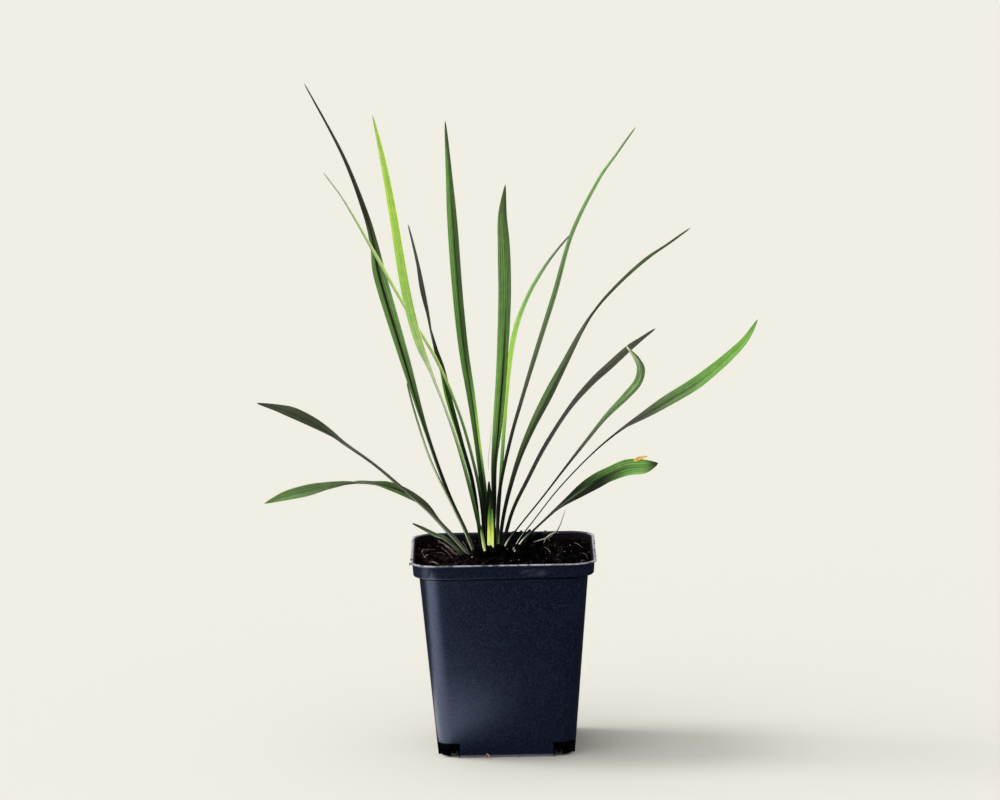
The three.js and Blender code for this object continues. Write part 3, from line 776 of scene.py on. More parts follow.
# Each thread's points, and those of every strand below: x, y, z and the thickness there.
THREADS = [
    [[-31.9, -1.6, 101.8, 0.26], [-28.2, -1.8, 99.2, 0.34], [-24.4, -1.8, 96.0, 0.26]],
    [[-29.6, -1.4, 100.9, 0.20], [-26.0, -1.8, 97.8, 0.30], [-22.8, -1.6, 94.4, 0.24]],
    [[-28.4, -2.2, 99.0, 0.22], [-25.6, -2.4, 96.6, 0.28], [-23.4, -2.2, 94.4, 0.20]],
    [[-30.2, -2.4, 98.4, 0.20], [-27.0, -2.6, 95.6, 0.26], [-24.6, -2.6, 93.4, 0.20]],
    [[-27.6, -1.2, 101.4, 0.16], [-24.6, -1.4, 98.9, 0.22], [-21.4, -1.4, 96.2, 0.16]],
    [[-19.8, 4.6, 100.2, 0.18], [-17.6, 3.0, 96.0, 0.22], [-16.4, 1.2, 92.8, 0.2]],
    [[20.2, 17.5, 93.6, 0.18], [21.4, 12.0, 94.4, 0.26], [22.6, 6.0, 94.0, 0.24],
     [23.0, 3.4, 93.2, 0.14]],
    [[-38.6, -2.0, 93.5, 0.3], [-37.4, 0.6, 94.2, 0.42], [-35.8, 3.4, 93.5, 0.25]],
    [[-40.0, 13.0, 93.6, 0.1], [-37.0, 15.5, 94.3, 0.14], [-33.0, 17.0, 93.6, 0.1]],
    [[-33.0, 9.0, 93.6, 0.08], [-30.4, 6.0, 94.3, 0.12], [-28.4, 3.0, 93.6, 0.08]],
    [[34.8, 30.0, 93.4, 0.12], [36.8, 22.0, 94.4, 0.16], [39.2, 14.0, 93.6, 0.12]],
    [[38.5, 3.0, 93.2, 0.12], [40.2, -4.0, 94.0, 0.16], [40.9, -12.0, 93.3, 0.12]],
    [[39.4, -18.0, 93.4, 0.14], [38.2, -25.0, 94.6, 0.18], [35.4, -31.0, 93.6, 0.12]],
    [[-38.6, 20.0, 93.6, 0.12], [-39.8, 8.0, 94.6, 0.16], [-38.0, -4.0, 93.4, 0.12]],
    [[-36.0, -14.0, 93.2, 0.3], [-34.0, -17.5, 93.9, 0.45], [-31.4, -19.0, 93.2, 0.3]],
]
threads = strands("dead_threads", THREADS)
strand = strand_tree()
grow(threads, strand, wander=0.7 * MM, material=straw)
dress(threads)

# Each bit of dirt on the lip: x, y, z and its size.
RIM_DIRT = [
    [-45.2, -37.6, 96.6, 0.55], [-45.1, -36.2, 97.0, 0.35], [-44.8, -26.0, 97.1, 0.5],
    [18.1, -44.4, 97.1, 0.4], [19.6, -44.6, 96.9, 0.3], [44.6, 16.0, 97.1, 0.5],
    [44.7, 8.4, 97.1, 0.4], [44.5, -9.0, 97.0, 0.45], [9.0, 44.2, 97.1, 0.7],
    [13.0, 44.0, 97.2, 0.8], [21.0, 44.2, 97.1, 0.5],
]
dirt = spots("rim_dirt", RIM_DIRT)
grow(dirt, lump_tree("Rim dirt", scattered=False), roundness=2, material=clod)
dress(dirt)


# Dry stalk: a dead leaf stalk that stands in the soil, cream and frayed where it comes out and
# thin and brown above. It is one mesh of strands, the stalk and its frays.
STALK = [
    [19.2, 13.4, 89, 0.12], [19.6, 13.2, 95, 0.12], [20.9, 13, 98.9, 0.6], [24, 13.7, 101.1, 0.8],
    [26.5, 14.2, 102.6, 0.62], [28.2, 14.8, 105.4, 0.45], [29.6, 15.4, 109.2, 0.35],
    [30.6, 16, 112.3, 0.2],
]
FRAYS = [
    [[22.0, 13.2, 99.6, 0.5], [20.0, 12.4, 98.9, 0.6], [17.4, 12.0, 98.2, 0.5], [14.9, 12, 97.6, 0.25]],
    [[24.6, 13.8, 101.4, 0.2], [23.4, 12.6, 100.0, 0.14], [21.8, 11.9, 98.6, 0.08]],
    [[25.8, 14.0, 102.2, 0.18], [26.8, 13.3, 101.9, 0.14], [27.4, 12.9, 101.2, 0.08]],
    [[22.6, 13.2, 100.2, 0.18], [22.4, 14.2, 98.8, 0.14], [23.0, 14.6, 97.4, 0.08]],
]
CREAM_STALK = [(0.92, 0.86, 0.68, 1), (0.58, 0.52, 0.37, 1)]
BROWN_STALK = [(0.19, 0.145, 0.10, 1), (0.07, 0.055, 0.04, 1)]
STALK_MUD = (0.020, 0.012, 0.010, 1)
BROWN_FROM = (101.6, 104.5)
MUD_BELOW = (97.4, 96.4)
stalk_skin, tree, shader = new_material("dry_stalk", Roughness=0.7)
place = on_object(tree)
height = axes(tree, place)["Z"]
mottle = spread(tree, noise(tree, place, 420, 4, 0.7), 0.4, 0.62)
low, high = mixed(tree, mottle, *CREAM_STALK), mixed(tree, mottle, *BROWN_STALK)
colour = mixed(tree, zone(tree, height, BROWN_FROM), low, high)
paint(tree, shader, mixed(tree, zone(tree, height, MUD_BELOW), colour, STALK_MUD))
stalk = strands("dead_stalk", [STALK, *FRAYS])
grow(stalk, strand, steps=40, wander=0.5 * MM, material=stalk_skin)
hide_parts("dry_stalk")
dress(stalk)


# Rootlets: cream ends of roots that have grown out through the drain holes and show under the
# front edge of the pot. They are strands that lie on the floor.
ROOTLETS = [
    [[-9.8, -32.4, 1.6, 0.5], [-9.6, -34.2, 2.0, 0.6], [-8.8, -35.4, 1.6, 0.55],
     [-8.4, -36.2, 0.6, 0.5], [-7.4, -37.4, 0.35, 0.4]],
    [[-9.8, -34.0, 1.4, 0.35], [-10.2, -35.0, 0.7, 0.4], [-9.8, -36.2, 0.3, 0.35]],
    [[4.2, -33.0, 0.5, 0.3], [5.0, -34.2, 0.35, 0.35], [6.2, -34.8, 0.25, 0.3]],
]
CREAM_ROOT = [(0.62, 0.46, 0.30), (0.42, 0.16, 0.05)]
cream_root = plain_material("cream_root", *CREAM_ROOT, 350, Roughness=0.7)
rootlets = strands("rootlets", ROOTLETS)
grow(rootlets, strand, steps=16, wander=0.2 * MM, material=cream_root)
dress(rootlets)


# Leaves: strap leaves of the young tuft, rooted in the crown, each folded to a channel at its foot
# and opening to a flat keeled blade. A geometry tree sweeps each blade's section along its route.
# A row is x, y, z, width, turn, the tones of the left half, midrib and right half, and greyness.
# The tones and greyness hold painted light and shade as well as the leaves' own colour: lit halves
# are lighter, and shaded halves, the shaded groove of the midrib and backlit stems are darker.
CROWN = {"x": -5.8, "y": 8.8}
ROOT_HEIGHT = 87
ROOT_LEAN = 0.5
LEAVES = {
    "leaf_tall_left": [
        [-13.8, 9.2, 92.5, 2.6, -62, 0.68, 0.62, 0.5, 1],
        [-18.5, 10, 104.5, 2.8, -67, 0.68, 0.56, 0.44, 1],
        [-27, 10.5, 124, 3.8, -73, 0.36, 0.08, 0.12, 0.8],
        [-37, 11.5, 154, 4.6, -69, 0.6, 0.08, 0.42, 0.6],
        [-46.5, 13, 188.5, 5.9, -36, 0.68, 0.06, 0.64, 0.4],
        [-57.5, 15.5, 228, 7.2, -31, 0.69, 0.05, 0.66, 0.35],
        [-60.5, 16, 245, 5.7, -47, 0.66, 0.1, 0.48, 0.5],
        [-64.5, 17.5, 261, 4, -52, 0.36, 0.26, 0.38, 1],
        [-75, 19, 289.5, 2.3, -54, 0.4, 0.32, 0.4, 1],
        [-93, 22, 324.5, 0.8, -60, 0.44, 0.4, 0.44, 1],
    ],
    "leaf_thin_left": [
        [-9.2, 7, 94, 2.4, -124, 0.2, 0.1, 0.1, 0.3],
        [-10, 5.5, 115, 2.8, -110, 0.12, 0.08, 0.1, 0.3],
        [-13, 3.5, 135.5, 3.2, -107, 0.4, 0.16, 0.5, 0.3],
        [-20, 0.5, 163, 3.8, -104, 0.72, 0.4, 0.66, 0.4],
        [-30.5, -2.5, 190, 4.3, -110, 0.9, 0.56, 0.84, 0.4],
        [-43, -6, 213, 4.8, -107, 0.94, 0.62, 0.88, 0.4],
        [-56, -10, 237.5, 4.8, -112, 0.94, 0.62, 0.88, 0.45],
        [-69.5, -14, 263.5, 2.4, -112, 0.88, 0.66, 0.84, 0.7],
        [-76, -16, 275, 1.5, -110, 0.86, 0.74, 0.82, 0.95],
        [-83.5, -18, 285.5, 0.8, -118, 0.82, 0.78, 0.8, 1],
    ],
    "leaf_lime": [
        [-9.5, 3, 96.5, 2.7, -118, 0.3, 0.12, 0.2, 0.1],
        [-15, 1, 123.5, 3.4, -111, 0.12, 0.08, 0.4, 0.1],
        [-20.5, -2.5, 146.5, 3.8, -107, 0.14, 0.12, 0.74, 0.5],
        [-26.5, -6, 166.5, 4.4, -100, 0.76, 0.6, 0.88, 0.95],
        [-33, -10, 184.5, 4.8, -112, 0.84, 0.76, 0.88, 0.85],
        [-39.5, -14.5, 202.5, 5.2, -144, 0.82, 0.77, 0.84, 0.4],
        [-45, -21, 228, 5.3, -150, 0.82, 0.79, 0.82, 0.1],
        [-50.5, -32.5, 269, 4.8, -144, 0.85, 0.86, 0.84, 0],
        [-54.5, -41, 295, 3.7, -138, 0.85, 0.86, 0.84, 0.1],
        [-58.5, -48, 316, 0.8, -145, 0.86, 0.84, 0.84, 0.3],
    ],
    "leaf_dark_left": [
        [-10.5, 9.5, 93.5, 2.7, -63, 0.1, 0.08, 0.1, 0.2],
        [-14, 12.5, 124.5, 3.2, -69, 0.1, 0.05, 0.1, 0.2],
        [-19.5, 16, 146, 3.8, -66, 0.4, 0.12, 0.24, 0.05],
        [-25.5, 20.5, 167.5, 4.7, -49, 0.74, 0.16, 0.34, 0],
        [-28.5, 23.5, 182, 5.2, -61, 0.6, 0.16, 0.34, 0.05],
        [-31.5, 26, 191.5, 5.2, -72, 0.36, 0.16, 0.3, 0.4],
        [-34.5, 29.5, 206, 4.6, -102, 0.32, 0.2, 0.32, 0.8],
        [-37.5, 33, 220, 4.2, -126, 0.34, 0.24, 0.34, 1],
        [-40, 37, 234.5, 3.3, -116, 0.38, 0.28, 0.38, 1],
        [-44, 42, 252, 0.8, -125, 0.42, 0.38, 0.42, 1],
    ],
    "leaf_middle_back": [
        [-6.5, 12.8, 93, 2.7, 43, 0.8, 0.8, 0.9, 0],
        [-8.5, 14.5, 118.5, 3.6, 29, 0.14, 0.08, 0.25, 0],
        [-11, 18.5, 142.5, 4.5, 46, 0.42, 0.24, 0.84, 0],
        [-14, 23.5, 167, 5.4, 41, 0.5, 0.22, 0.7, 0.05],
        [-17.5, 30, 190.5, 5.8, 34, 0.58, 0.22, 0.42, 0.1],
        [-20, 38, 217.5, 6.2, 34, 0.6, 0.24, 0.38, 0.15],
        [-22, 49, 250, 6, 32, 0.62, 0.28, 0.38, 0.15],
        [-23.5, 58.5, 276, 4, 39, 0.6, 0.38, 0.36, 0.15],
        [-25, 68, 300, 0.8, 33, 0.42, 0.32, 0.3, 0.4],
    ],
    "leaf_middle_front": [
        [-5.6, 5, 94, 2.9, 130, 0.9, 0.8, 0.5, 0],
        [-4, 3.5, 115.5, 3.4, 129, 0.14, 0.08, 0.3, 0.3],
        [-3.5, -1.5, 138.5, 4, 134, 0.34, 0.12, 0.5, 0.4],
        [-1.5, -7.5, 159, 5.5, 148, 0.68, 0.12, 0.62, 0.15],
        [1, -17.5, 187.5, 6.8, 142, 0.69, 0.18, 0.64, 0.12],
        [3, -33.5, 224, 7.6, 144, 0.64, 0.6, 0.61, 0.3],
        [3, -46.5, 250, 6.8, 150, 0.63, 0.59, 0.58, 0.35],
        [2.5, -56.5, 268, 4.9, 148, 0.6, 0.55, 0.5, 0.4],
        [4, -66, 284, 0.8, 145, 0.46, 0.44, 0.36, 0.5],
    ],
    "leaf_bright_right": [
        [-3.5, 14, 94.5, 2.5, 69, 0.3, 0.3, 0.2, 0.1],
        [-1, 17, 123, 3.2, 74, 0.5, 0.3, 0.5, 0.1],
        [1.5, 22.5, 151.5, 4.2, 73, 0.78, 0.6, 0.78, 0],
        [4.5, 29, 180.5, 4.8, 65, 0.86, 0.8, 0.84, 0],
        [8, 34, 199.5, 4.8, 61, 0.84, 0.7, 0.82, 0.05],
        [14.5, 39, 215.5, 4.6, 71, 0.76, 0.42, 0.72, 0.3],
        [22.5, 43.5, 228.5, 4.2, 76, 0.66, 0.36, 0.62, 0.5],
        [29, 46.5, 237, 2.8, 83, 0.54, 0.36, 0.52, 0.7],
        [36.5, 50, 245, 0.8, 65, 0.42, 0.36, 0.42, 0.7],
    ],
    "leaf_tall_right": [
        [-2.8, 9.2, 95.5, 2.8, 66, 0.7, 0.3, 0.14, 0.8],
        [-1.5, 10.5, 121.5, 3, 74, 0.1, 0.05, 0.07, 0.5],
        [4.5, 12.5, 148.5, 3.8, 79, 0.2, 0.1, 0.16, 0.8],
        [11, 14, 169.5, 4.8, 74, 0.38, 0.2, 0.34, 0.75],
        [18.5, 16.5, 192.5, 4.9, 67, 0.5, 0.26, 0.46, 0.65],
        [27.5, 19, 219.5, 4.9, 64, 0.56, 0.3, 0.52, 0.5],
        [36.5, 22.5, 248.5, 4.8, 72, 0.62, 0.36, 0.58, 0.35],
        [49.5, 26, 273.5, 4, 74, 0.68, 0.42, 0.62, 0.25],
        [59.5, 28, 287.5, 2.7, 82, 0.66, 0.48, 0.6, 0.3],
        [68.5, 30, 299.5, 0.8, 60, 0.54, 0.42, 0.5, 0.5],
    ],
    "leaf_twisted_right": [
        [-1.8, 4.2, 98, 2.8, 68, 0.2, 0.1, 0.1, 0.5],
        [1.5, 3, 117, 3.2, 72, 0.1, 0.06, 0.08, 0.5],
        [8, 0.5, 139, 4.4, 63, 0.36, 0.1, 0.14, 0.5],
        [15, -2.5, 156.5, 5, 50, 0.54, 0.26, 0.26, 0.5],
        [23, -5.5, 172.5, 5.9, 45, 0.56, 0.3, 0.3, 0.5],
        [31.5, -9, 189, 5.6, 60, 0.5, 0.26, 0.28, 0.65],
        [39, -12, 203.5, 5.8, 76, 0.42, 0.22, 0.32, 0.8],
        [46, -15, 215.5, 5.4, 96, 0.42, 0.26, 0.36, 0.85],
        [57, -18.5, 228, 4.8, 110, 0.5, 0.36, 0.48, 0.7],
        [71, -23, 241, 4, 119, 0.54, 0.4, 0.5, 0.6],
        [82.5, -27, 249.5, 2.8, 113, 0.46, 0.38, 0.44, 0.75],
        [92.5, -30, 257, 0.8, 125, 0.38, 0.36, 0.36, 0.9],
    ],
    "leaf_middle_right": [
        [0, 11, 96.5, 2.8, 66, 0.2, 0.1, 0.1, 0.6],
        [5, 14, 113, 3, 76, 0.05, 0.03, 0.04, 0.6],
        [13, 19, 128, 3.8, 74, 0.06, 0.04, 0.05, 0.9],
        [22, 25.5, 143.5, 4.4, 71, 0.14, 0.1, 0.14, 1],
        [33.5, 33.5, 159.5, 5.1, 74, 0.28, 0.18, 0.24, 1],
        [44.5, 41, 171, 4.9, 59, 0.4, 0.24, 0.32, 1],
        [54.5, 47.5, 179, 5.3, 54, 0.46, 0.26, 0.34, 1],
        [64, 53.5, 186.5, 4.5, 52, 0.48, 0.3, 0.36, 0.95],
        [71, 58, 191, 2.5, 52, 0.44, 0.34, 0.36, 0.9],
        [77.5, 62, 195, 0.8, 38, 0.42, 0.36, 0.36, 0.9],
    ],
    "leaf_curled": [
        [1.5, 4, 98, 2.2, 69, 1.2, 1, 0.3, 0.9],
        [7.5, 1.5, 107, 2, 91, 0.1, 0.04, 0.04, 0.9],
        [19.5, -5.5, 123, 2.8, 97, 0.04, 0.03, 0.04, 0.6],
        [30.5, -14, 138.5, 4.2, 92, 0.12, 0.06, 0.1, 0.7],
        [41.5, -23, 153.5, 5, 81, 0.42, 0.16, 0.3, 0.6],
        [51, -31.5, 166.5, 5.3, 74, 0.62, 0.3, 0.46, 0.5],
        [60.5, -39.5, 177.5, 5.2, 54, 0.62, 0.7, 0.46, 0.4],
        [66, -45, 185, 5.5, 50, 0.6, 0.76, 0.46, 0.5],
        [67.5, -48.5, 192, 5.6, 48, 0.7, 0.6, 0.54, 0.7],
        [65.5, -52, 197.5, 5, 56, 0.86, 0.66, 0.56, 0.8],
        [63, -55, 201, 3.4, 62, 0.92, 0.74, 0.6, 0.85],
        [60, -58, 204.5, 0.9, 60, 1.15, 1.1, 1.1, 0.8],
    ],
    "leaf_far_right": [
        [7.5, 6, 99.5, 1.9, 88, 1.2, 1, 0.3, 0.9],
        [15.5, 3.5, 110.5, 1.5, 96, 0.1, 0.05, 0.05, 0.8],
        [27.5, -2, 126.5, 1.5, 98, 0.05, 0.03, 0.04, 0.5],
        [43, -10.5, 144, 2.2, 98, 0.08, 0.05, 0.08, 0.7],
        [56, -19.5, 156.5, 4.4, 94, 0.22, 0.14, 0.2, 0.9],
        [69.5, -26.5, 166, 5.9, 60, 0.46, 0.24, 0.38, 0.8],
        [80, -33, 173.5, 6.9, 46, 0.6, 0.36, 0.54, 0.5],
        [92, -41, 182, 6.8, 38, 0.65, 0.48, 0.63, 0.25],
        [100.5, -49, 189.5, 6.8, 44, 0.66, 0.58, 0.67, 0.1],
        [110, -57, 199, 5.6, 45, 0.67, 0.62, 0.69, 0.05],
        [117, -63.5, 207.5, 3.9, 45, 0.69, 0.64, 0.71, 0.05],
        [122.5, -70, 218, 0.8, 30, 0.66, 0.62, 0.67, 0.1],
    ],
    "leaf_broad_right": [
        [8.7, 1.5, 99, 2.2, 70, 1.2, 0.8, 0.2, 0.9],
        [16.5, -2, 107.5, 2.2, 90, 0.2, 0.04, 0.04, 0.9],
        [27, -9, 118, 4.2, 78, 0.1, 0.6, 0.05, 0.6],
        [37.5, -16, 127, 6.5, 42, 0.22, 0.54, 0.07, 0.4],
        [45.5, -21.5, 133, 7.6, 28, 0.44, 0.14, 0.14, 0.1],
        [52.5, -27, 137.5, 7.4, 28, 0.58, 0.28, 0.38, 0.1],
        [60.5, -33.5, 141.5, 8.1, 28, 0.64, 0.5, 0.62, 0.12],
        [69, -39.5, 143, 6.7, 20, 0.65, 0.56, 0.64, 0.15],
        [75, -46, 145.5, 1.2, 20, 0.14, 0.1, 0.14, 0.8],
    ],
    "leaf_arching_left": [
        [-17.5, 0.5, 94.5, 2.7, -68, 0.74, 0.68, 0.58, 1],
        [-24.5, 0.6, 102.5, 3, -74, 0.74, 0.68, 0.58, 1],
        [-35.5, 1, 115, 3.4, -76, 0.7, 0.6, 0.52, 1],
        [-48, 2, 126.5, 4, -83, 0.54, 0.44, 0.42, 1],
        [-62.5, 4.5, 139, 4.8, -90, 0.5, 0.34, 0.36, 1],
        [-76.5, 8.5, 148.5, 5.8, -87, 0.44, 0.24, 0.52, 1],
        [-84, 12, 153.5, 6.2, -70, 0.36, 0.22, 0.46, 0.9],
        [-93, 16.5, 158.5, 6.1, -42, 0.32, 0.26, 0.36, 0.8],
        [-102.5, 21, 162.5, 5.8, -32, 0.34, 0.26, 0.38, 0.75],
        [-111, 25.5, 164.5, 3.6, -39, 0.32, 0.24, 0.34, 0.75],
        [-120, 30, 166, 0.8, -35, 0.28, 0.24, 0.28, 0.8],
    ],
    "leaf_low_left": [
        [-17, 10.6, 91.5, 2.6, -68, 0.74, 0.66, 0.56, 1],
        [-23.5, 10.5, 100, 3, -66, 0.74, 0.66, 0.54, 1],
        [-31, 10, 108.5, 3.4, -72, 0.72, 0.58, 0.5, 0.95],
        [-37.5, 9.5, 117, 4.2, -62, 0.64, 0.36, 0.46, 0.8],
        [-46, 8.5, 123, 5.2, -45, 0.6, 0.28, 0.5, 0.6],
        [-54.5, 7.5, 127, 5.7, -52, 0.62, 0.32, 0.52, 0.5],
        [-62.5, 6, 129, 6.2, -84, 0.62, 0.4, 0.5, 0.65],
        [-70.5, 5, 130, 6.3, -94, 0.56, 0.42, 0.48, 0.8],
        [-78, 3.5, 129.5, 6.3, -120, 0.58, 0.46, 0.5, 0.7],
        [-86.5, 2, 128.5, 6.5, -138, 0.64, 0.5, 0.54, 0.5],
        [-95.5, 0, 127, 6.5, -161, 0.68, 0.56, 0.6, 0.42],
        [-106, -2.5, 125, 5.2, -159, 0.7, 0.6, 0.63, 0.36],
        [-116, -5, 122, 0.8, -155, 0.68, 0.6, 0.62, 0.36],
    ],
    "leaf_hair_left": [
        [-14.5, 5, 94.5, 2.1, -62, 0.8, 0.68, 0.6, 0.9],
        [-19, 3, 106, 2.3, -70, 0.84, 0.7, 0.62, 0.85],
        [-24.5, 0, 118.5, 2.6, -78, 0.88, 0.74, 0.6, 0.8],
        [-34.5, -8, 142.5, 3, -86, 0.84, 0.66, 0.54, 0.75],
        [-41.5, -18, 167.5, 2.6, -84, 0.6, 0.44, 0.46, 0.7],
        [-45, -25, 183.5, 0.8, -74, 0.48, 0.4, 0.46, 0.7],
    ],
    "leaf_short_left": [
        [-21, 4, 94.5, 2.4, -34, 0.6, 0.5, 0.5, 0.8],
        [-28, 0, 102, 2.2, -40, 0.76, 0.36, 0.66, 0.8],
        [-33.5, -3, 105, 2.2, -40, 0.78, 0.34, 0.7, 0.85],
        [-39, -5.5, 108.5, 1.7, -30, 0.62, 0.32, 0.6, 0.9],
        [-44, -8, 111.5, 0.8, -30, 0.5, 0.36, 0.46, 1],
    ],
}


def route_line(name, rows):
    """A line of vertices along a leaf, each with the blade's form and tones there.

    The tones are as the front sees them, from 0 for black green to 1 for lime, so they change
    sides on a blade that is turned round. They hold painted light and shade as well as colour.
    """
    line = bpy.data.meshes.new(name)
    places = [Vector(row[:3]) * MM for row in rows]
    line.from_pydata(places, [(k, k + 1) for k in range(len(rows) - 1)], [])
    form, tones, grey = [], [], []
    for k, (_, _, _, width, turn, left, middle, right, dull) in enumerate(rows):
        form += [width * MM, math.radians(turn), k / (len(rows) - 1)]
        tones += [left, middle, right] if abs(turn) < 90 else [right, middle, left]
        grey.append(dull)
    for label, values in (("form", form), ("tones", tones)):
        made = line.attributes.new(label, "FLOAT_VECTOR", "POINT")
        made.data.foreach_set("vector", values)
    line.attributes.new("grey", "FLOAT", "POINT").data.foreach_set("value", grey)
    return placed(name, line)


def blade_tree():
    """Sweeps a channelled, keeled section along a route line and closes it at both ends."""
    tree, given, result = new_tree("Leaf blade", [
        ("Rings", "Int", 110),
        ("Around", "Int", 24),
        ("Foot thickness", "Float", 0.7 * MM),
        ("Blade thickness", "Float", 0.42 * MM),
        ("Foot fold", "Float", 0.5),
        ("Blade fold", "Float", 0.24),
        ("Keel", "Float", 0.16 * MM),
        ("Ripple", "Float", 0.25 * MM),
        ("Material", "Material", None),
    ])
    feeds = {0: smooth_line(tree, given["Geometry"]), "Resolution": 24}
    line = made_by(tree, "GeometryNodeSetSplineResolution", feeds)
    feeds = {
        "Vertices": given["Around"],
        "Side Segments": given["Rings"],
        "Radius": 1.0,
        "Depth": 1.0,
    }
    tube = made_by(tree, "GeometryNodeMeshCylinder", feeds, fill_type="NONE")
    spot = axes(tree, position(tree))
    tube = store(tree, tube, "across", spot["X"])
    tube = store(tree, tube, "side", spot["Y"])
    tube = store(tree, tube, "along", maths(tree, "ADD", spot["Z"], 0.5))
    across, side, along = kept(tree, "across"), kept(tree, "side"), kept(tree, "along")

    def sampled(label, kind="FLOAT_VECTOR"):
        feeds = {"Curves": line, "Value": kept(tree, label, kind), "Factor": along}
        return add_node(tree, "GeometryNodeSampleCurve", feeds, data_type=kind,
                        mode="FACTOR").outputs

    form = sampled("form")
    shape = axes(tree, form["Value"])
    width, turn, share = shape["X"], shape["Y"], shape["Z"]
    tangent = vectors(tree, "NORMALIZE", form["Tangent"])
    front = (0.0, -1.0, 0.0)
    lean = vectors(tree, "DOT_PRODUCT", tangent, front)
    facing = vectors(tree, "SUBTRACT", front, scaled(tree, tangent, lean))
    facing = vectors(tree, "NORMALIZE", facing)
    sideways = vectors(tree, "CROSS_PRODUCT", tangent, facing)
    cos, sin = maths(tree, "COSINE", turn), maths(tree, "SINE", turn)
    wide = vectors(tree, "ADD", scaled(tree, sideways, cos), scaled(tree, facing, sin))
    up = vectors(tree, "SUBTRACT", scaled(tree, facing, cos), scaled(tree, sideways, sin))

    near_tip = maths(tree, "POWER", along, 90.0)
    near_foot = maths(tree, "POWER", maths(tree, "SUBTRACT", 1.0, along), 90.0)
    open_ends = maths(tree, "SUBTRACT", 1.0, maths(tree, "ADD", near_tip, near_foot))
    ending = maths(tree, "SQRT", maths(tree, "MAXIMUM", open_ends, 0.0))
    half = times(tree, width, 0.5, ending)
    opened = spread(tree, share, 0.0, 0.6)
    fold = spread(tree, opened, 0.0, 1.0, given["Foot fold"], given["Blade fold"])
    thickness = spread(tree, opened, 0.0, 1.0, given["Foot thickness"], given["Blade thickness"])
    thickness = times(tree, thickness, ending)

    reach = maths(tree, "ABSOLUTE", across)
    rise = maths(tree, "SUBTRACT", maths(tree, "POWER", reach, 1.4), 0.5)
    rise = times(tree, rise, times(tree, half, fold))
    depth = maths(tree, "POWER", maths(tree, "ABSOLUTE", side), 0.5)
    depth = times(tree, depth, maths(tree, "SIGN", side), times(tree, thickness, 0.5))
    keel = spread(tree, reach, 0.0, 0.3, given["Keel"], 0.0)
    keel = times(tree, keel, maths(tree, "LESS_THAN", side, -0.5), ending)
    wave = maths(tree, "SUBTRACT", noise(tree, form["Position"], 70, 1), 0.5)
    wave = times(tree, wave, given["Ripple"], times(tree, across, opened))
    lift = maths(tree, "SUBTRACT", maths(tree, "ADD", rise, depth), keel)
    lift = maths(tree, "ADD", lift, wave)
    place = scaled(tree, wide, times(tree, half, across))
    place = vectors(tree, "ADD", place, scaled(tree, up, lift))
    place = vectors(tree, "ADD", place, form["Position"])

    tones = axes(tree, sampled("tones")["Value"])
    halves = spread(tree, across, -0.12, 0.12, tones["X"], tones["Z"])
    off_rib = spread(tree, reach, 0.04, 0.32)
    sides = times(tree, maths(tree, "SUBTRACT", halves, tones["Y"]), off_rib)
    blade = store(tree, tube, "tone", maths(tree, "ADD", tones["Y"], sides))
    blade = store(tree, blade, "grey", sampled("grey", "FLOAT")["Value"])
    feeds = {"Geometry": moved(tree, blade, Position=place), "Distance": 0.002 * MM}
    whole = made_by(tree, "GeometryNodeMergeByDistance", feeds)
    finished(tree, result, whole, given["Material"])
    return tree


TONE_TOP = 1.2
GREEN_TONES = [
    (0.0, (0.0036, 0.0050, 0.0024)),
    (0.2, (0.0110, 0.0230, 0.0060)),
    (0.4, (0.0440, 0.1050, 0.0180)),
    (0.6, (0.1150, 0.2650, 0.0460)),
    (0.7, (0.1750, 0.4400, 0.0800)),
    (0.8, (0.3000, 0.6200, 0.0900)),
    (1.0, (0.7800, 0.9400, 0.1000)),
    (1.2, (0.8800, 0.9200, 0.5000)),
]
GREY_TONES = [
    (0.0, (0.0046, 0.0042, 0.0034)),
    (0.2, (0.0190, 0.0185, 0.0130)),
    (0.4, (0.0640, 0.0660, 0.0430)),
    (0.6, (0.1500, 0.1740, 0.1040)),
    (0.8, (0.3200, 0.4200, 0.2900)),
    (1.0, (0.6400, 0.7000, 0.5200)),
    (1.2, (0.8400, 0.8500, 0.7800)),
]


def tone_ramp(tree, value, stops):
    """A colour for each tone, blended between the listed ones."""
    ramp = add_node(tree, "ShaderNodeValToRGB", {"Fac": maths(tree, "DIVIDE", value, TONE_TOP)})
    elements = ramp.color_ramp.elements
    for position, colour in stops[1:-1]:
        elements.new(position / TONE_TOP).color = (*colour, 1)
    elements[0].color = (*stops[0][1], 1)
    elements[-1].color = (*stops[-1][1], 1)
    return ramp.outputs["Color"]


VEINS = {"fine": 52.0, "broad": 21.0, "drift": 3.0}
STREAKS = {"across": 7.0, "along": 4.0, "each leaf": 40.0}
MARKS = {"broad": 0.065, "fine": 0.045, "streaks": 0.26, "blotches": 0.15, "rim": 0.09}
# Emission strength of the painted glow in the palest tones.
PAINTED_GLOW = 0.5


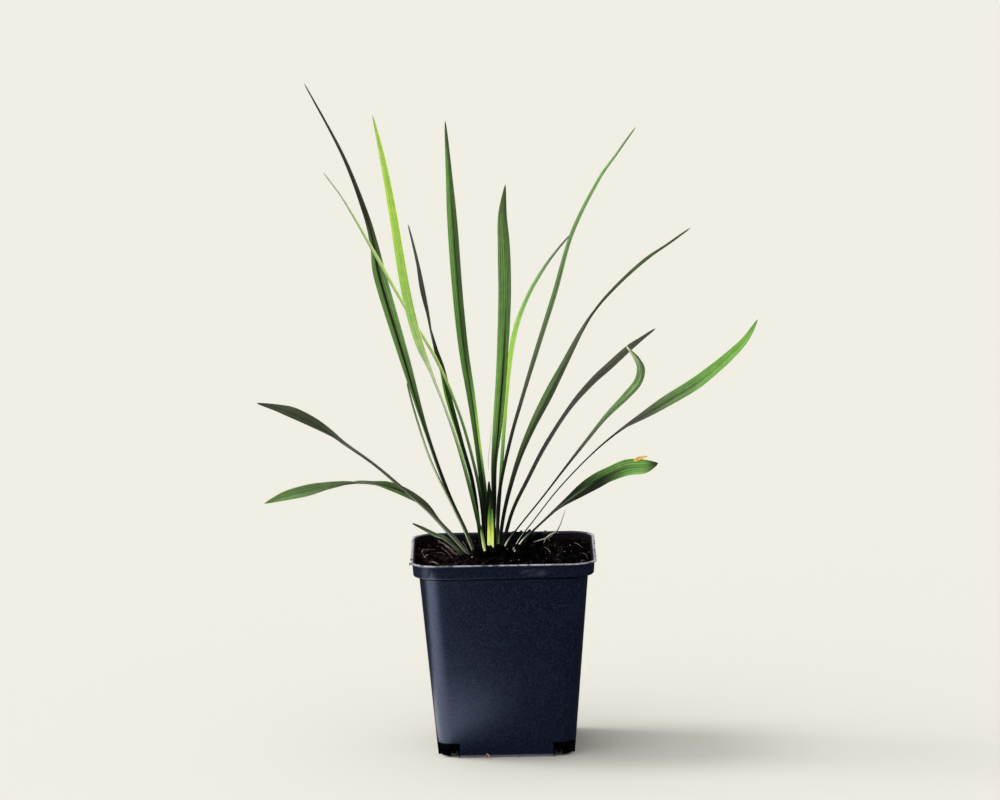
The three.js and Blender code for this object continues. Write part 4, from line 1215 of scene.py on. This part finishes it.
def leaf_material(name):
    """Leaf skin: parallel veins, streaks, tone and greyness. The palest parts get a painted glow."""
    material, tree, shader = new_material(name, Roughness=0.44, Specular_IOR_Level=0.12)
    place = on_object(tree)
    across, along = attribute(tree, "across"), attribute(tree, "along")
    drift = times(tree, noise(tree, place, 30, 1), VEINS["drift"])
    broad = maths(tree, "ADD", times(tree, across, VEINS["broad"]), drift)
    marks = {
        "broad": maths(tree, "COSINE", broad),
        "fine": maths(tree, "COSINE", times(tree, across, VEINS["fine"])),
    }
    streak_place = made_by(tree, "ShaderNodeCombineXYZ", {
        "X": times(tree, across, STREAKS["across"]),
        "Y": times(tree, along, STREAKS["along"]),
        "Z": times(tree, noise(tree, place, 2.0, 0), STREAKS["each leaf"]),
    })
    marks["streaks"] = maths(tree, "SUBTRACT", noise(tree, streak_place, 1.0, 3, 0.6), 0.5)
    marks["blotches"] = maths(tree, "SUBTRACT", noise(tree, place, 260, 3, 0.6), 0.5)
    marks["rim"] = spread(tree, maths(tree, "ABSOLUTE", across), 0.84, 0.98)
    varied = 0.0
    for label, mark in marks.items():
        varied = maths(tree, "ADD", varied, times(tree, mark, MARKS[label]))
    tone = attribute(tree, "tone")
    strength = spread(tree, tone, 0.1, 0.5, 0.45, 1.0)
    tone = maths(tree, "ADD", tone, times(tree, varied, strength))
    greens, greys = tone_ramp(tree, tone, GREEN_TONES), tone_ramp(tree, tone, GREY_TONES)
    colour = mixed(tree, attribute(tree, "grey"), greens, greys)
    paint(tree, shader, colour)
    # Painted glow: the leaf colour is also given off as emission, in the palest tones only.
    tree.links.new(colour, shader.inputs["Emission Color"])
    glow = spread(tree, tone, 0.9, 1.1, 0.0, PAINTED_GLOW)
    tree.links.new(glow, shader.inputs["Emission Strength"])
    ribs = maths(tree, "ADD", marks["fine"], times(tree, marks["broad"], 2.0))
    emboss(tree, shader, ribs, 0.3, 0.03)
    return material


THIN_FEET = {"leaf_curled": 0.45, "leaf_far_right": 0.34, "leaf_broad_right": 0.7}
THIN_FOLD = 0.2
blade_green = leaf_material("leaf_green")
blade = blade_tree()
for name, rows in LEAVES.items():
    x, y, _, *form = rows[0]
    x += (CROWN["x"] - x) * ROOT_LEAN
    y += (CROWN["y"] - y) * ROOT_LEAN
    leaf = route_line(name.replace("leaf", "blade"), [[x, y, ROOT_HEIGHT, *form], *rows])
    thin = {}
    if name in THIN_FEET:
        thin = {"foot_thickness": THIN_FEET[name] * MM, "foot_fold": THIN_FOLD}
    grow(leaf, blade, material=blade_green, **thin)
    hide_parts(name)
    dress(leaf)


# Crown: the knob of rhizome in the soil, turned smooth, with the pale bud that rises from it.
# Rings of its radius at each height are closed by a point at both ends.
CROWN_PROFILE = [
    (0, 76), (3, 76.1), (4.7, 76.6), (7.2, 78.2), (8.3, 80), (8.5, 82), (8.3, 84), (7.4, 85.4),
    (6.4, 86), (4, 86.2), (2, 86.3), (1.3, 86.8), (1.2, 90), (1.2, 97), (1.18, 102), (0.95, 106),
    (0.66, 109), (0.36, 111.4), (0.16, 111.9), (0, 112),
]
CROWN_SIDES = 32
points, faces = [], []
for radius, z in CROWN_PROFILE[1:-1]:
    points += round_ring(CROWN["x"], CROWN["y"], radius, z, CROWN_SIDES)
top_ring = len(points) - CROWN_SIDES
for start in range(0, top_ring, CROWN_SIDES):
    for side in range(CROWN_SIDES):
        a, b = start + side, start + (side + 1) % CROWN_SIDES
        faces.append([a, b, b + CROWN_SIDES, a + CROWN_SIDES])
foot, tip = len(points), len(points) + 1
for _, z in (CROWN_PROFILE[0], CROWN_PROFILE[-1]):
    points.append(Vector((CROWN["x"], CROWN["y"], z)) * MM)
for side in range(CROWN_SIDES):
    following = (side + 1) % CROWN_SIDES
    faces.append([foot, following, side])
    faces.append([tip, top_ring + side, top_ring + following])
mesh = bpy.data.meshes.new("rhizome")
mesh.from_pydata(points, [], faces)
mesh.shade_smooth()
rhizome = placed("rhizome", mesh)

WOODY = [(0.40, 0.30, 0.18, 1), (0.18, 0.11, 0.06, 1)]
PALE_BUD = (0.72, 0.76, 0.34, 1)
GREEN_TIP = (0.12, 0.30, 0.03, 1)
BUD_FROM = (86, 90)
TIP_FROM = (98, 109)
crown_skin, tree, shader = new_material("pale_crown", Roughness=0.5)
place = on_object(tree)
height = axes(tree, place)["Z"]
mottle = spread(tree, noise(tree, place, 200, 4, 0.7), 0.4, 0.62)
colour = mixed(tree, zone(tree, height, BUD_FROM), mixed(tree, mottle, *WOODY), PALE_BUD)
paint(tree, shader, mixed(tree, zone(tree, height, TIP_FROM), colour, GREEN_TIP))
mesh.materials.append(crown_skin)
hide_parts("crown")
dress(rhizome)


# Sheaths: short pale sheath leaves that clasp the foot of the tuft round the bud, and the dark
# stub of a leaf on its right. They are blades like the leaves, with the same columns in their rows.
SHEATHS = {
    "sheath_front": [
        [-6.1, 1.0, 88, 2.8, 10, 1.06, 1.04, 1.04, 0.0],
        [-6.1, 0.2, 95, 3.2, 8, 1.1, 1.06, 1.08, 0.0],
        [-6.1, 0.4, 101, 3.1, 4, 1.08, 0.98, 1.04, 0.0],
        [-6.0, 1.0, 107, 2.9, 0, 1.0, 0.8, 0.98, 0.0],
        [-5.9, 1.8, 113, 2.5, -4, 0.72, 0.4, 0.7, 0.0],
        [-5.6, 3.0, 119, 1.6, -4, 0.3, 0.2, 0.3, 0.0],
        [-5.8, 3.8, 124, 0.7, -6, 0.2, 0.2, 0.2, 0.0],
    ],
    "sheath_back": [
        [-5.8, 6.6, 88, 5.0, 4, 0.2, 0.3, 0.2, 0.0],
        [-5.8, 6.6, 98, 5.2, 4, 0.2, 0.3, 0.2, 0.0],
        [-6.0, 7.0, 108, 4.8, 4, 0.16, 0.26, 0.16, 0.0],
        [-6.2, 7.8, 118, 3.4, 6, 0.14, 0.2, 0.14, 0.0],
        [-6.4, 8.8, 129, 0.8, 8, 0.2, 0.2, 0.2, 0.0],
    ],
    "sheath_left": [
        [-8.8, 0.6, 89, 1.1, -20, 1.2, 1.18, 1.1, 0.4],
        [-9.1, 0.6, 95, 1.5, -22, 1.2, 1.14, 1.0, 0.4],
        [-9.7, 0.8, 100, 1.7, -26, 1.0, 0.92, 0.8, 0.3],
        [-10.3, 1.2, 104.5, 1.3, -30, 0.84, 0.7, 0.6, 0.3],
        [-10.8, 1.6, 108.5, 0.5, -34, 0.5, 0.4, 0.4, 0.3],
    ],
    "sheath_right": [
        [-2.4, 2.4, 88, 0.8, 30, 1.1, 1.0, 0.7, 0.8],
        [-2.3, 1.8, 95, 0.9, 30, 1.0, 0.9, 0.6, 0.8],
        [-2.0, 2.0, 100, 0.8, 26, 0.85, 0.7, 0.4, 0.7],
        [-1.7, 2.6, 105, 0.5, 20, 0.4, 0.4, 0.3, 0.6],
    ],
    "stub_leaf": [
        [9.6, 13, 88, 2.2, 40, 0.1, 0.05, 0.1, 0.5],
        [10.6, 13.4, 97, 2.2, 40, 0.08, 0.05, 0.06, 0.5],
        [12.0, 13.6, 101, 2.2, 38, 0.05, 0.05, 0.05, 0.5],
        [13.6, 13.6, 103.6, 1.5, 34, 0.05, 0.05, 0.05, 0.5],
    ],
}
for name, rows in SHEATHS.items():
    sheath = route_line(name, rows)
    grow(sheath, blade, rings=50, around=18, material=blade_green)
    dress(sheath)


# Dead scrap: the browned, dried shred that hangs on the torn end of the broad right leaf. It is
# a small blade with the same columns in its rows.
SCRAP = [
    [63.6, -35.6, 145.2, 1.2, 20, 0.6, 0.5, 0.6, 0.0],
    [65.8, -36.8, 146.3, 1.9, 24, 0.6, 0.5, 0.6, 0.0],
    [68.0, -37.8, 147.2, 1.3, 30, 0.6, 0.5, 0.6, 0.0],
    [70.2, -38.6, 147.8, 0.4, 34, 0.6, 0.5, 0.6, 0.0],
]
BROWNED = [(0.95, 0.60, 0.12), (0.66, 0.28, 0.03)]
scrap_skin = plain_material("dead_scrap", *BROWNED, 500, Roughness=0.6)
scrap = route_line("dead_scrap", SCRAP)
grow(scrap, blade, rings=24, around=12, material=scrap_skin)
dress(scrap)


# Loose thread: a pale thread of torn leaf skin that hangs on the middle leaves. It is one strand.
THREAD = [
    [-4.7, 2.2, 158, 0.12], [-5.4, 1.6, 149.6, 0.22], [-6.4, 2.4, 141.5, 0.22],
    [-6.6, 3.6, 135, 0.12],
]
PALE_THREAD = [(0.62, 0.66, 0.50), (0.40, 0.46, 0.30)]
thread = strands("loose_thread", [THREAD])
pale_thread = plain_material("pale_thread", *PALE_THREAD, 300, Roughness=0.6)
grow(thread, strand, wander=0.4 * MM, material=pale_thread)
dress(thread)


# Floor and light: a plain pale sheet in a pale room, brighter on the left and dark below. A broad
# sun from the left and a little behind is the key light, and a panel at floor height lays a shine
# on the pot's left corner. The floor isn't mirrored in the plastic.
CREAM = (0.879, 0.855, 0.768)
FLOOR_HALF = 12
ROOM = 0.72
ROOM_TILT = 0.45
UNDER = 0.05
SUN = {"power": 1.15, "height": 48, "behind": 12, "spread": 24}
PANEL = {"x": -215, "y": -147, "z": 3, "long": 420, "wide": 152, "power": 0.66}
mesh = bpy.data.meshes.new("floor")
corners = [(sx * FLOOR_HALF, sy * FLOOR_HALF, 0) for sx, sy in ((-1, -1), (1, -1), (1, 1), (-1, 1))]
mesh.from_pydata(corners, [], [(0, 1, 2, 3)])
floor = placed("floor", mesh)
lit = ROOM + SUN["power"] * math.sin(math.radians(SUN["height"])) / math.pi
paper, tree, shader = new_material("pale_floor", Roughness=1.0, Specular_IOR_Level=0.0)
shader.inputs["Base Color"].default_value = (*[value / lit for value in CREAM], 1)
mesh.materials.append(paper)
floor.visible_glossy = False


def grey(value):
    return value, value, value, 1


world = bpy.data.worlds.new("studio")
bpy.context.scene.world = world
world.use_nodes = True
tree = world.node_tree
toward = axes(tree, add_node(tree, "ShaderNodeTexCoord").outputs["Generated"])
left_to_right = spread(tree, toward["X"], -1.0, 1.0)
room = mixed(tree, left_to_right, grey(ROOM + ROOM_TILT), grey(ROOM - ROOM_TILT))
room = mixed(tree, spread(tree, toward["Z"], 0.0, -0.02), room, grey(UNDER))
seen = add_node(tree, "ShaderNodeLightPath").outputs["Is Camera Ray"]
colour = mixed(tree, seen, room, (*CREAM, 1))
tree.links.new(colour, tree.nodes["Background"].inputs["Color"])

sun = placed("key", bpy.data.lights.new("key", "SUN"))
sun.data.energy = SUN["power"]
sun.data.angle = math.radians(SUN["spread"])
height, behind = math.radians(SUN["height"]), math.radians(SUN["behind"])
ray = Vector((
    math.cos(height) * math.cos(behind),
    -math.cos(height) * math.sin(behind),
    -math.sin(height),
))
sun.rotation_euler = ray.to_track_quat("-Z", "Y").to_euler()

panel = placed("panel", bpy.data.lights.new("panel", "AREA"))
panel.data.shape = "RECTANGLE"
panel.data.size = PANEL["long"] * MM
panel.data.size_y = PANEL["wide"] * MM
panel.data.energy = PANEL["power"]
panel.location = Vector((PANEL["x"], PANEL["y"], PANEL["z"])) * MM
panel.rotation_euler = (math.pi, 0, math.atan2(PANEL["y"], PANEL["x"]))
panel.visible_diffuse = False
panel.visible_camera = False


# Camera: a long lens in front of the plant, a little above it, held one degree off level.
CAMERA = {"place": (-0.3, -2895.5, 630.4), "down": 9.03, "roll": -1.0, "lens": 217.04}
camera = placed("camera", bpy.data.cameras.new("camera"))
camera.data.sensor_width = 36
camera.data.lens = CAMERA["lens"]
camera.data.clip_end = 100
camera.location = Vector(CAMERA["place"]) * MM
down = math.radians(CAMERA["down"])
aim = Vector((0, math.cos(down), -math.sin(down))).to_track_quat("-Z", "Y").to_matrix()
camera.rotation_euler = (aim @ Matrix.Rotation(math.radians(CAMERA["roll"]), 3, "Z")).to_euler()
bpy.context.scene.camera = camera
bpy.context.scene.view_settings.view_transform = "Standard"
